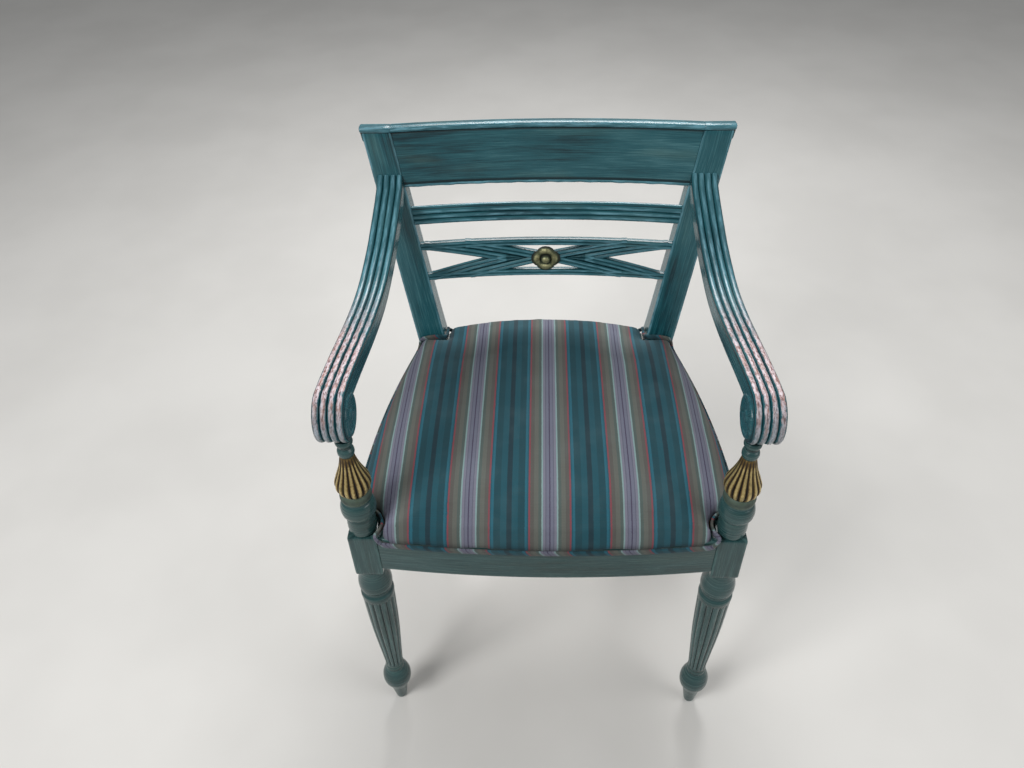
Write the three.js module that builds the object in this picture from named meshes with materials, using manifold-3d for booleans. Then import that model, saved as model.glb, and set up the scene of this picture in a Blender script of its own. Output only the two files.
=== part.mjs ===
// An open elbow chair of painted wood with a stuffed-over seat.
// Turned and reeded front legs carry separate turned arm supports, the arms sweep from the
// back uprights down to scrolls, and a bowed back holds a crest, a reeded rail and a lattice.
// Millimetres, +Z up, front towards -Y. The two front post axes stand at y = 0 until the end.
import * as THREE from 'three';
import { mergeVertices } from 'three/addons/utils/BufferGeometryUtils.js';
import Module from 'manifold-3d';

const wasm = await Module();
wasm.setup();

// Fits
const clearance = 0.3;            // gap between neighbouring pieces
const tenonLength = 12;
const tenonThickness = 10;
const dowelRadius = 6;
const dowelLength = 20;

// Front legs
const postSpan = 476;             // from one front post axis to the other
const blockWidth = 38;
const blockBottom = 370;
const blockTop = 449;
const legReeds = 14;
const footRadius = 7.6;
const ballRadius = 22;
const ankleRadius = 13.4;
const shaftRadius = 23.2;
const ringRadius = 23.6;
const reedDepth = 2;

// Arm supports
const supportHeight = 167.6;      // from the leg block to the underside of the arm
const ringOneRadius = 18.6;
const ringTwoRadius = 22.8;
const bellRadius = 23;
const bellNeckRadius = 8.7;
const topRingRadius = 10.8;
const bellFlutes = 16;
const fluteDepth = 2.4;

// Seat rails
const railBottom = 382;
const railTop = 447;
const railThickness = 24;
const frontRailSetback = 1.5;       // behind the block's front face, at the block
const frontBow = 12;
const sideRailFrontInset = 7;     // inside the block's outer face
const sideBow = 14;
const backRailSetback = 2;        // behind the uprights' front face

// Back uprights
const backDepth = 378;            // post axes to the uprights' front face, at the seat
const seatLevel = 448;
const uprightOuter = 206;         // half width over the uprights, at the seat
const uprightSplay = 0.135;       // outward lean, per unit of height
const uprightWidth = 44;
const uprightTopWidth = 41;
const uprightDepth = 38;
const uprightTopDepth = 25;
const uprightRake = 22;           // backward lean of the top
const backFootSweep = 70;         // how far the back feet stand behind the seat
const backFootDepth = 28;
const chairTop = 811.5;

// Back rails
const backBow = 13;
const crestHeight = 88;
const crestThickness = 15;
const beadProud = 3;
const beadHeight = 7;
const crestGap = 34.5;             // open height between the crest and the reeded rail
const reededHeight = 27;
const reededThickness = 11;
const railReeds = 3;
const latticeGap = 31.5;           // open height between the reeded rail and the lattice
const latticeHeight = 63;
const latticeBar = 10.6;
const diagonalBar = 12.7;         // the crossing bars, measured upright
const diagonalSlope = 0.23;
const chevronReach = 60;          // the outer V's point, from the middle
const latticeThickness = 9;
const rosetteWidth = 44;
const rosetteHeight = 41;
const rosetteThickness = 5;
const bossRadius = 7;

// Arms
const armThickness = 30;
const armBackWidth = 37;
const armFrontWidth = 36;
const armOverhang = 6.5;            // arm centre outside the post axis, at the scroll
const armDrop = 68.5;               // the arms' back ends below the chair's top
const scrollRadius = 34;
const scrollSetback = 8;
const eyeRadius = 27;
const eyeProud = 2.5;
const armReeds = 4;
const armReedDepth = 3.2;

// Seat
const hemHeight = 438;
const webbingWidth = 50;
const webbingThickness = 1;
const coverThickness = 1.5;
const seatCrown = 496;            // highest part of the stuffing, towards the front
const seatCrownBack = 479;
const frontRim = 462;
const postRim = 470;
const uprightRim = 466;
const weltRadius = 2.1;           // half the welt's thickness
const weltHalfHeight = 4;

const paint = [0x35565a, 0.55, 0];
const gilt = [0x77693a, 0.45, 0.6];
const bareWood = [0x8a6a45, 0.8, 0];
const fabric = [0x2c5563, 0.95, 0];
const jute = [0xa08a62, 0.95, 0];

// Heights and lines that follow from the sizes above
const postX = postSpan / 2;
const halfBlock = blockWidth / 2;
const supportTop = blockTop + clearance + supportHeight;
const scrollHeight = supportTop + clearance + scrollRadius;
const fabricStart = railTop + clearance;
const hessianStart = fabricStart + 2 * webbingThickness + 2 * clearance;
const padBottom = hessianStart + webbingThickness + clearance;
const crestBottom = chairTop - crestHeight;
const reededBottom = crestBottom - crestGap - reededHeight;
const latticeBottom = reededBottom - latticeGap - latticeHeight;
const armBackTop = chairTop - armDrop;

const frontFace = (x) => {
  const share = Math.min(1, Math.abs(x) / (postX - halfBlock));
  return frontRailSetback - halfBlock - frontBow * (1 - share * share);
};
const sideStart = halfBlock + clearance;
const sideFace = (y) => {
  const t = THREE.MathUtils.clamp((y - halfBlock) / (backDepth - halfBlock), -0.1, 1);
  const start = postX + halfBlock - sideRailFrontInset;
  const end = uprightOuter - uprightWidth / 2 + railThickness / 2 + 1;
  return THREE.MathUtils.lerp(start, end, t) + 4 * sideBow * t * (1 - t);
};

// The uprights' shape at any height
const upShare = (z) => THREE.MathUtils.clamp((z - seatLevel) / (chairTop - seatLevel), 0, 1);
const uprightOut = (z) => {
  const rise = Math.max(0, z - seatLevel + 40) - 40;
  return uprightOuter + uprightSplay * Math.max(rise, -20 - 20 / (1 + Math.max(0, -rise) / 40));
};
const uprightThick = (z) => THREE.MathUtils.lerp(uprightWidth, uprightTopWidth, upShare(z));
const uprightIn = (z) => uprightOut(z) - uprightThick(z);
const uprightFront = (z) => {
  if (z >= seatLevel) return backDepth + uprightRake * upShare(z) ** 1.25;
  return backDepth + backFootSweep * (Math.max(0, railBottom - z) / railBottom) ** 1.2;
};
const uprightDeep = (z) => {
  if (z >= railTop) {
    return THREE.MathUtils.lerp(uprightDepth, uprightTopDepth, upShare(z) ** 0.6);
  }
  const down = Math.max(0, railBottom - z) / railBottom;
  return THREE.MathUtils.lerp(uprightDepth, backFootDepth, down);
};

const toSolid = (geometry) => {
  const bare = geometry.index ? geometry.clone() : geometry;
  bare.deleteAttribute('normal');
  bare.deleteAttribute('uv');
  const merged = mergeVertices(bare, 1e-4);
  return new wasm.Manifold(new wasm.Mesh({
    numProp: 3,
    vertProperties: new Float32Array(merged.attributes.position.array),
    triVerts: new Uint32Array(merged.index.array),
  }));
};

const toGeometry = (solid) => {
  const mesh = solid.getMesh();
  const geometry = new THREE.BufferGeometry();
  geometry.setAttribute('position', new THREE.BufferAttribute(mesh.vertProperties, 3));
  geometry.setIndex(new THREE.BufferAttribute(mesh.triVerts, 1));
  return geometry;
};

// Six times the volume that the triangles close in, negative when the faces point inwards
const signedVolume = (points, index) => {
  const [a, b, c] = [new THREE.Vector3(), new THREE.Vector3(), new THREE.Vector3()];
  let sum = 0;
  for (let i = 0; i < index.length; i += 3) {
    a.copy(points[index[i]]);
    b.copy(points[index[i + 1]]);
    c.copy(points[index[i + 2]]);
    sum += a.dot(b.cross(c));
  }
  return sum;
};

const fromTriangles = (points, index) => {
  if (signedVolume(points, index) < 0) index.reverse();
  const geometry = new THREE.BufferGeometry().setFromPoints(points);
  geometry.setIndex(index);
  return geometry;
};

// A skin over rings of equally many points. Flat ends are filled from the section outline,
// and a ring path that closes on itself has none.
const loft = (rings, outline, closedPath = false) => {
  const count = rings[0].length;
  const points = rings.flat();
  const index = [];
  const last = closedPath ? rings.length : rings.length - 1;
  for (let i = 0; i < last; i += 1) {
    const here = i * count;
    const next = ((i + 1) % rings.length) * count;
    for (let j = 0; j < count; j += 1) {
      const k = (j + 1) % count;
      index.push(here + j, here + k, next + k, here + j, next + k, next + j);
    }
  }
  if (!closedPath) {
    const shift = (rings.length - 1) * count;
    const clockwise = THREE.ShapeUtils.isClockWise(outline);
    for (const face of THREE.ShapeUtils.triangulateShape(outline, [])) {
      const [p, q, r] = clockwise ? face.reverse() : face;
      index.push(r, q, p, shift + p, shift + q, shift + r);
    }
  }
  return fromTriangles(points, index);
};

// A turned piece from [height, radius, groove depth] stations, with the grooves cut between
// as many ridges as asked for
const turned = (stations, ridges, sides) => {
  const ring = ([z, radius, groove = 0]) => Array.from({ length: sides }, (_, i) => {
    const r = i % 2 ? radius - groove : radius;
    const angle = (i / sides) * 2 * Math.PI + Math.PI / (ridges || sides);
    return new THREE.Vector3(r * Math.cos(angle), r * Math.sin(angle), z);
  });
  const rings = stations.map(ring);
  return loft(rings, rings[0].map((p) => new THREE.Vector2(p.x, p.y)));
};

const box = (x0, x1, y0, y1, z0, z1) => new THREE.BoxGeometry(x1 - x0, y1 - y0, z1 - z0)
  .translate((x0 + x1) / 2, (y0 + y1) / 2, (z0 + z1) / 2);

const grown = ([x0, x1, y0, y1, z0, z1], by) => [x0 - by, x1 + by, y0 - by, y1 + by, z0 - by, z1 + by];

// A straight-ended board across the back. The section is a list of [y behind the front face, z],
// its ends follow the uprights and its middle is bowed backwards.
const bowedBoard = (section, halfWidth, steps, lift = () => 0) => {
  const rings = [];
  for (let i = 0; i <= steps; i += 1) {
    const t = (2 * i) / steps - 1;
    rings.push(section.map(([y, z]) => {
      const height = z + lift(t);
      const bow = backBow * (1 - t * t);
      return new THREE.Vector3(t * halfWidth(height), uprightFront(height) + y + bow, height);
    }));
  }
  return loft(rings, section.map(([y, z]) => new THREE.Vector2(y, z)));
};

const solids = new Map();
const looks = new Map();
const add = (name, geometry, look) => {
  solids.set(name, geometry.isBufferGeometry ? toSolid(geometry) : geometry);
  looks.set(name, look);
};
const mirrored = (geometry) => {
  const copy = geometry.clone().scale(-1, 1, 1);
  if (!copy.index) return copy;
  copy.setIndex([...copy.index.array].reverse());
  return copy;
};
const addPair = (name, geometry, look) => {
  const solid = toSolid(geometry);
  add(`${name}_right`, solid, look);
  add(`${name}_left`, toSolid(mirrored(toGeometry(solid))), look);
};

// A tongue on one piece, let into another with clearance all round
const joinTenon = (tongue, host, bounds) => {
  solids.set(tongue, solids.get(tongue).add(toSolid(box(...bounds))));
  solids.set(host, solids.get(host).subtract(toSolid(box(...grown(bounds, clearance)))));
};
const flipped = ([x0, x1, y0, y1, z0, z1]) => [-x1, -x0, y0, y1, z0, z1];

// Front leg: pointed foot, ball, reeded taper, ring and the square block for the rails
const legStations = () => {
  const at = (share) => share * blockBottom;
  const taper = (share) => THREE.MathUtils.lerp(ankleRadius, shaftRadius, share);
  return [
    [0, footRadius], [at(0.115), footRadius * 1.8],
    [at(0.135), ballRadius * 0.8], [at(0.16), ballRadius * 0.95], [at(0.188), ballRadius],
    [at(0.22), ballRadius * 0.93], [at(0.25), ballRadius * 0.76], [at(0.29), ankleRadius], [at(0.3), ankleRadius, reedDepth * 0.6],
    [at(0.42), taper(0.42), reedDepth], [at(0.58), taper(0.8), reedDepth],
    [at(0.815), shaftRadius, reedDepth], [at(0.822), shaftRadius],
    [at(0.845), shaftRadius], [at(0.86), shaftRadius * 0.88], [at(0.872), shaftRadius * 0.9],
    [at(0.885), ringRadius], [at(0.93), ringRadius], [at(0.958), ringRadius * 0.9],
    [blockBottom + 4, halfBlock * 0.9],
  ];
};
const legGeometry = () => {
  const turning = toSolid(turned(legStations(), legReeds, 2 * legReeds));
  const block = toSolid(box(-halfBlock, halfBlock, -halfBlock, halfBlock, blockBottom, blockTop));
  const socket = new THREE.CylinderGeometry(
    dowelRadius + clearance, dowelRadius + clearance, dowelLength + 1, 16,
  ).rotateX(Math.PI / 2).translate(0, 0, blockTop + 0.5 - dowelLength / 2);
  return toGeometry(turning.add(block).subtract(toSolid(socket))).translate(postX, 0, 0);
};
addPair('front_leg', legGeometry(), paint);

// Arm support: two rings, a pale fillet, the fluted bell, a collar and the top ring
const supportStations = () => {
  const base = blockTop + clearance;
  const at = (share) => base + share * supportHeight;
  return [
    [base - dowelLength + 2, dowelRadius], [base, dowelRadius], [base, ringOneRadius * 0.9],
    [at(0.03), ringOneRadius], [at(0.13), ringOneRadius], [at(0.19), ringOneRadius * 0.9],
    [at(0.22), ringTwoRadius * 0.95], [at(0.28), ringTwoRadius], [at(0.35), ringTwoRadius * 0.85],
    [at(0.385), bellRadius * 0.85], [at(0.43), bellRadius * 0.86],
    [at(0.465), bellRadius * 0.77, fluteDepth * 0.4], [at(0.505), bellRadius * 0.96, fluteDepth],
    [at(0.545), bellRadius, fluteDepth], [at(0.6), bellRadius * 0.92, fluteDepth],
    [at(0.66), bellRadius * 0.74, fluteDepth * 0.8], [at(0.75), bellNeckRadius * 1.35, 1],
    [at(0.845), bellNeckRadius, 0.6], [at(0.86), topRingRadius * 0.95],
    [at(0.9), topRingRadius * 0.9], [at(0.92), bellNeckRadius * 0.87],
    [at(0.945), topRingRadius * 0.9], [supportTop, topRingRadius], [supportTop, dowelRadius],
    [supportTop + dowelLength - 2, dowelRadius],
  ];
};
addPair(
  'arm_support',
  turned(supportStations(), bellFlutes, 2 * bellFlutes).translate(postX, 0, 0),
  paint,
);

// Back leg and upright in one piece: square in section, swept back below the seat and
// splayed above it, with the crest's moulding carried across its top
const crestSection = (top) => {
  const low = crestBottom;
  return [
    [crestThickness, low + 2], [-1.5, low], [-1.5, low + 4], [0, low + 6],
    [0, top - beadHeight - 1.5], [-beadProud * 0.9, top - beadHeight], [-beadProud, top - 3],
    [-0.5, top - 0.6], [3, top], [crestThickness - 3, top - 0.5], [crestThickness, top - 4],
  ];
};
const uprightGeometry = () => {
  const steps = (from, to, count) => Array.from(
    { length: count }, (_, i) => THREE.MathUtils.lerp(from, to, i / count),
  );
  const stemTop = chairTop - 8;
  const heights = [...steps(0, railBottom, 6), ...steps(railBottom, railTop, 2),
    ...steps(railTop, stemTop, 8), stemTop];
  const corner = 2;
  const square = (z) => {
    const [x0, x1] = [uprightIn(z), uprightOut(z)];
    const [y0, y1] = [uprightFront(z), uprightFront(z) + uprightDeep(z)];
    return [[x0 + corner, y0], [x1 - corner, y0], [x1, y0 + corner], [x1, y1 - corner],
      [x1 - corner, y1], [x0 + corner, y1], [x0, y1 - corner], [x0, y0 + corner]];
  };
  const rings = heights.map((z) => square(z).map(([x, y]) => new THREE.Vector3(x, y, z)));
  const stem = toSolid(loft(rings, square(0).map(([x, y]) => new THREE.Vector2(x, y))));
  const section = crestSection(chairTop).filter(([, z]) => z > chairTop - 30)
    .concat([[crestThickness, chairTop - 22], [2, chairTop - 22]]);
  const ends = [(z) => uprightIn(z), (z) => uprightOut(z) + beadProud / 2];
  const capRings = ends.map((xAt) => section.map(
    ([y, z]) => new THREE.Vector3(xAt(z), uprightFront(z) + y, z),
  ));
  const cap = toSolid(loft(capRings, section.map(([y, z]) => new THREE.Vector2(y, z))));
  return toGeometry(stem.add(cap));
};
addPair('back_leg', uprightGeometry(), paint);

// Seat rails
const planPiece = (outline, z0, z1) => {
  const shape = new THREE.Shape(outline.map(([x, y]) => new THREE.Vector2(x, y)));
  const solid = new THREE.ExtrudeGeometry(shape, { depth: z1 - z0, bevelEnabled: false });
  return solid.translate(0, 0, z0);
};
const spread = (from, to, steps) => Array.from(
  { length: steps + 1 },
  (_, i) => THREE.MathUtils.lerp(from, to, i / steps),
);
const railEnd = postX - halfBlock - clearance;
const frontLine = spread(-railEnd, railEnd, 16);
add('front_rail', planPiece([
  ...frontLine.map((x) => [x, frontFace(x)]),
  ...frontLine.map((x) => [-x, frontFace(x) + railThickness]),
], railBottom, railTop), paint);

const sideEnd = backDepth - clearance;
const sideLine = spread(sideStart, sideEnd, 12);
addPair('side_rail', planPiece([
  ...sideLine.map((y) => [sideFace(y), y]),
  ...[...sideLine].reverse().map((y) => [sideFace(y) - railThickness, y]),
], railBottom, railTop), paint);

const backRailFront = backDepth + backRailSetback;
const backRailEnd = uprightIn(railBottom) - clearance;
add('back_rail', box(
  -backRailEnd, backRailEnd, backRailFront, backRailFront + railThickness, railBottom, railTop,
), paint);

// Corner blocks, glued into the four inner corners of the seat frame
const cornerLow = railBottom + 10;
const cornerHigh = railTop - 17;
const cornerReach = 68;
const innerFront = (x) => frontFace(x) + railThickness + clearance;
const innerSide = (y) => sideFace(y) - railThickness - clearance;
addPair('corner_block_front', planPiece([
  [railEnd - cornerReach, innerFront(railEnd - cornerReach)],
  [railEnd, innerFront(railEnd)], [railEnd, sideStart], [innerSide(sideStart), sideStart],
  [innerSide(sideStart + cornerReach), sideStart + cornerReach],
], cornerLow, cornerHigh), bareWood);
const backInner = Math.min(uprightIn(cornerLow), uprightIn(cornerHigh)) - clearance;
addPair('corner_block_back', planPiece([
  [innerSide(sideEnd - cornerReach), sideEnd - cornerReach], [innerSide(sideEnd), sideEnd],
  [backInner, sideEnd], [backInner, backRailFront - clearance],
  [backInner - cornerReach, backRailFront - clearance],
], cornerLow, cornerHigh), bareWood);

// Rail tenons into the leg blocks and the uprights
const tenonLow = railBottom + 12;
const tenonHigh = railTop - 18;
const frontTenonY = frontFace(railEnd) + (railThickness - tenonThickness) / 2;
const frontTenon = [
  railEnd - 1, railEnd + clearance + tenonLength, frontTenonY - 3, frontTenonY - 3 + tenonThickness,
  tenonLow, tenonHigh,
];
const sideTenonX = sideFace(sideStart) - railThickness / 2 + 4;
const sideTenonFront = [
  sideTenonX - tenonThickness / 2, sideTenonX + tenonThickness / 2,
  sideStart - clearance - tenonLength, sideStart + 1, tenonLow, tenonHigh,
];
const sideBackX = sideFace(sideEnd) - railThickness / 2;
const sideTenonBack = [
  sideBackX - tenonThickness / 2, sideBackX + tenonThickness / 2,
  sideEnd - 1, sideEnd + clearance + tenonLength, tenonLow, tenonHigh,
];
const backTenonY = backRailFront + (railThickness - tenonThickness) / 2 + 5;
const backTenon = [
  backRailEnd - 1, backRailEnd + clearance + tenonLength,
  backTenonY, backTenonY + tenonThickness, tenonLow, tenonHigh,
];
for (const [side, place] of [['right', (b) => b], ['left', flipped]]) {
  joinTenon('front_rail', `front_leg_${side}`, place(frontTenon));
  joinTenon(`side_rail_${side}`, `front_leg_${side}`, place(sideTenonFront));
  joinTenon(`side_rail_${side}`, `back_leg_${side}`, place(sideTenonBack));
  joinTenon('back_rail', `back_leg_${side}`, place(backTenon));
}

// Crest, reeded rail and lattice between the uprights
const betweenUprights = (z) => uprightIn(z) - clearance;
add('crest_rail', bowedBoard(crestSection(chairTop), betweenUprights, 16), paint);

// Reeds up its front face, and one more along its top edge
const reededSection = () => {
  const pitch = reededHeight / railReeds;
  const top = reededBottom + reededHeight;
  const front = [];
  for (let i = 0; i < railReeds; i += 1) {
    const z = reededBottom + i * pitch;
    front.push([i ? reedDepth : 1, z], [0, z + pitch * 0.35], [0, z + pitch * 0.7]);
  }
  front.push([reedDepth * 0.7, top - 1], [reedDepth * 1.4, top - 1.5], [reedDepth * 2, top]);
  return [...front, [reededThickness - 2, top], [reededThickness, top - 2],
    [reededThickness, reededBottom]];
};
add('reeded_rail', bowedBoard(reededSection(), betweenUprights, 14), paint);

const latticeMiddle = latticeBottom + latticeHeight / 2;
const barSection = (height) => {
  const half = height / 2;
  return [[1, -half], [0, -half * 0.5], [reedDepth, 0], [0, half * 0.5], [1, half],
    [latticeThickness, half], [latticeThickness, -half]]
    .map(([y, z]) => [y, z + latticeMiddle]);
};
const latticeReach = latticeHeight / 2 - latticeBar / 2;
const latticeHalf = betweenUprights(latticeMiddle);
const climb = (x) => Math.min(latticeReach, Math.max(0, diagonalSlope * x));
const cross = (t) => Math.sign(t) * climb(Math.abs(t) * latticeHalf);
const chevron = (t) => climb(Math.abs(t) * latticeHalf - chevronReach);
const latticeGeometry = () => {
  const level = [() => latticeReach, () => -latticeReach]
    .map((lift) => bowedBoard(barSection(latticeBar), betweenUprights, 10, lift));
  const leaning = [cross, (t) => -cross(t), chevron, (t) => -chevron(t)]
    .map((lift) => bowedBoard(barSection(diagonalBar), betweenUprights, 24, lift));
  return toGeometry([...level, ...leaning].map(toSolid).reduce((sum, bar) => sum.add(bar))
    .trimByPlane([0, 0, 1], latticeBottom)
    .trimByPlane([0, 0, -1], -latticeBottom - latticeHeight));
};
add('lattice_rail', latticeGeometry(), paint);

// Four-lobed rosette with a round boss, over the crossing of the lattice
const rosetteGeometry = () => {
  const waist = 0.76;
  const outline = Array.from({ length: 16 }, (_, i) => {
    const angle = (i / 16) * 2 * Math.PI;
    const reach = 0.5 * (waist + (1 - waist) * Math.abs(Math.cos(2 * angle)));
    return new THREE.Vector2(
      rosetteWidth * reach * Math.cos(angle),
      rosetteHeight * reach * Math.sin(angle),
    );
  });
  const shape = new THREE.Shape(outline);
  const petals = new THREE.ExtrudeGeometry(shape, { depth: rosetteThickness, bevelEnabled: false });
  const boss = new THREE.SphereGeometry(bossRadius, 12, 8)
    .translate(0, 0, rosetteThickness - bossRadius * 0.25);
  const front = uprightFront(latticeMiddle) + backBow - clearance;
  const lean = Math.atan((uprightFront(latticeMiddle + 10) - uprightFront(latticeMiddle)) / 10);
  return toGeometry(toSolid(petals).add(toSolid(boss).trimByPlane([0, 0, 1], 1)))
    .rotateX(Math.PI / 2 - lean).translate(0, front, latticeMiddle);
};
add('rosette', rosetteGeometry(), gilt);

// Arm: reeded on top, swept down from the upright and curled under in a scroll with an eye
const armPath = () => {
  const y1 = uprightFront(armBackTop - 8) - clearance;
  const top = scrollHeight + scrollRadius;
  const drop = armBackTop - top;
  const shape = [[1, 1], [0.94, 0.74], [0.88, 0.535], [0.815, 0.34], [0.745, 0.14], [0.66, -0.035],
    [0.575, -0.165], [0.49, -0.215], [0.39, -0.2], [0.3, -0.15], [0.21, -0.085], [0.13, -0.035],
    [0.06, -0.005]];
  const line = shape.map(([t, rise]) => [scrollSetback + t * (y1 - scrollSetback), top + rise * drop]);
  for (let i = 0; i <= 14; i += 1) {
    const turn = (i / 14) * (240 / 180) * Math.PI;
    const radius = scrollRadius - Math.max(0, turn - Math.PI) * 3;
    line.push([scrollSetback - radius * Math.sin(turn), scrollHeight + radius * Math.cos(turn)]);
  }
  return line;
};
const armCentre = (y) => {
  const t = THREE.MathUtils.clamp((y - scrollSetback) / (backDepth - scrollSetback), 0, 1);
  const back = uprightIn(crestBottom + 6) + 2 * clearance + armBackWidth / 2;
  return THREE.MathUtils.lerp(postX + armOverhang, back, t);
};
const armSection = (width) => {
  const half = width / 2;
  const pitch = width / armReeds;
  const top = [[-half, -armReedDepth]];
  for (let i = 0; i < armReeds; i += 1) {
    const x = -half + i * pitch;
    top.push([x + pitch * 0.22, 0], [x + pitch * 0.78, 0]);
    top.push([x + pitch, i < armReeds - 1 ? -armReedDepth : -armReedDepth * 0.95]);
  }
  return [...top, [half, 3 - armThickness], [half - 3, -armThickness],
    [3 - half, -armThickness], [-half, 3 - armThickness]];
};
const armGeometry = () => {
  const path = armPath();
  const rings = path.map(([y, z], i) => {
    const [ya, za] = path[Math.max(0, i - 1)];
    const [yb, zb] = path[Math.min(path.length - 1, i + 1)];
    const length = Math.hypot(yb - ya, zb - za);
    const normal = [(zb - za) / length, -(yb - ya) / length];
    const t = THREE.MathUtils.clamp((y - scrollSetback) / (backDepth - scrollSetback), 0, 1);
    const width = THREE.MathUtils.lerp(armFrontWidth, armBackWidth, t);
    return armSection(width).map(([a, b]) => {
      const height = z + b * normal[1];
      const depth = i ? y + b * normal[0] : uprightFront(height) - clearance;
      return new THREE.Vector3(armCentre(y) + a, depth, height);
    });
  });
  const sweep = toSolid(loft(rings, armSection(armBackWidth).map(([a, b]) => new THREE.Vector2(a, b))));
  const reach = armFrontWidth / 2 + eyeProud;
  const half = [[0, reach], [6, reach], [8, reach - 2], [eyeRadius - 6, reach - 2],
    [eyeRadius - 4, reach], [eyeRadius, reach]];
  const profile = [...half.map(([r, h]) => [r, -h]), ...half.reverse()];
  const eye = new THREE.LatheGeometry(profile.map(([r, h]) => new THREE.Vector2(r, h)), 20)
    .rotateZ(-Math.PI / 2)
    .translate(postX + armOverhang, scrollSetback + 2, scrollHeight - 4.5);
  const hole = new THREE.CylinderGeometry(
    dowelRadius + clearance, dowelRadius + clearance, dowelLength + 20, 16,
  ).rotateX(Math.PI / 2).translate(postX, 0, supportTop + dowelLength / 2 - 10);
  return toGeometry(sweep.add(toSolid(eye)).subtract(toSolid(hole)));
};
addPair('arm', armGeometry(), paint);
const armTenonX = armCentre(backDepth);
const armTenonZ = armBackTop - 24;
const armTenon = [
  armTenonX - tenonThickness / 2, armTenonX + tenonThickness / 2,
  uprightFront(armTenonZ) - 6, uprightFront(armTenonZ) + tenonLength,
  armTenonZ - 8, armTenonZ + 8,
];
joinTenon('arm_right', 'back_leg_right', armTenon);
joinTenon('arm_left', 'back_leg_left', flipped(armTenon));

// Seat outline in plan, from the middle of the front round to the middle of the back.
// Each point: x, y, the hem's height and the rim's height. The front corners go round the
// posts and the back corners go round the uprights.
const coverOut = clearance + coverThickness;
const weltGap = 2 * weltRadius + 5 * clearance;
const notchGap = weltGap + coverOut;
const postNotch = ringTwoRadius + notchGap;
const notchCorner = (out) => {
  const x = sideFace(postNotch - 6) + out;
  return [x, Math.sqrt((postNotch - out) ** 2 - (x - postX) ** 2)];
};
const halfOutline = (out) => {
  const points = [];
  const radius = postNotch - out;
  const openHem = blockTop + 1.4;
  const frontMeets = postX - Math.sqrt(radius ** 2 - (frontFace(postX - 25) - out) ** 2);
  for (const x of frontLine.filter((value) => value > -1e-6 && value < frontMeets - 3)) {
    points.push([x, frontFace(x) - out, hemHeight, frontRim]);
  }
  points.push([frontMeets - 1, frontFace(frontMeets) - out, hemHeight, frontRim]);
  const start = Math.atan2(frontFace(frontMeets) - out, frontMeets - postX);
  const [sideX, sideY] = notchCorner(out);
  const end = Math.atan2(sideY, sideX - postX) - 2 * Math.PI;
  for (let i = 0; i <= 8; i += 1) {
    const angle = THREE.MathUtils.lerp(start, end, i / 8);
    const rim = THREE.MathUtils.lerp(frontRim, postRim, Math.min(1, Math.min(i, 8 - i) / 2));
    points.push([postX + radius * Math.cos(angle), radius * Math.sin(angle), openHem, rim]);
  }
  const backLimit = backDepth - notchGap + out;
  const inside = sideLine.filter((y) => y > sideY + 5 && y < backLimit - 5);
  for (const y of [sideY + 1, ...inside, backLimit - 1]) {
    const share = Math.max(0, (y / backLimit - 0.7) / 0.3);
    const rim = THREE.MathUtils.lerp(frontRim, uprightRim, share);
    points.push([sideFace(y) + out, y, hemHeight, rim]);
  }
  const inner = uprightIn(seatLevel) - notchGap + out;
  const back = backRailFront + railThickness + out;
  points.push([sideFace(backLimit) + out, backLimit, openHem, uprightRim]);
  points.push([(sideFace(backLimit) + inner) / 2, backLimit, openHem, uprightRim]);
  points.push([inner, backLimit, openHem, uprightRim]);
  points.push([inner, (backLimit + back) / 2, openHem, uprightRim]);
  points.push([inner, back, openHem, uprightRim]);
  points.push([inner - 1, back, hemHeight, uprightRim]);
  points.push([inner * 0.7, back, hemHeight, uprightRim + 4]);
  points.push([inner * 0.25, back, hemHeight, uprightRim + 7]);
  return points;
};
const seatOutline = (out) => {
  const right = halfOutline(out);
  return [...right, ...right.slice(1).map(([x, ...rest]) => [-x, ...rest]).reverse()];
};
const seatCentreY = backDepth / 2;
const crownAt = (y) => {
  const t = THREE.MathUtils.clamp((y - 90) / (backDepth - 60), 0, 1);
  return THREE.MathUtils.lerp(seatCrown, seatCrownBack, t);
};
// The stuffing's plan without its notches: a rounded rectangle that narrows to the back
const rounded = (x, y) => {
  const reachY = backRailFront + railThickness - seatCentreY;
  const angle = Math.atan2((y - seatCentreY) / reachY, x / sideFace(seatCentreY));
  const power = (value) => Math.sign(value) * Math.abs(value) ** 0.5;
  const across = power(Math.cos(angle));
  const py = seatCentreY + reachY * power(Math.sin(angle));
  return [across * sideFace(py), py];
};
// Its upper surface, as rings that shrink towards the middle and lose the notches
const seatRings = (out, lift, shares) => shares.map((s) => seatOutline(out).map(([x, y, , rim]) => {
  const [rx, ry] = rounded(x, y);
  const loosen = Math.min(1, s / 0.25);
  const px = THREE.MathUtils.lerp(x, rx, loosen) * (1 - s);
  const py = seatCentreY + (THREE.MathUtils.lerp(y, ry, loosen) - seatCentreY) * (1 - s);
  const roll = Math.sqrt(1 - (1 - Math.min(1, s / 0.32)) ** 2);
  const rise = 0.85 * roll + 0.15 * s;
  return new THREE.Vector3(px, py, rim + lift + (crownAt(py) - rim) * rise);
}));
const wall = (out, height) => seatOutline(out).map(([x, y, hem]) => new THREE.Vector3(x, y, height(hem)));

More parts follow.
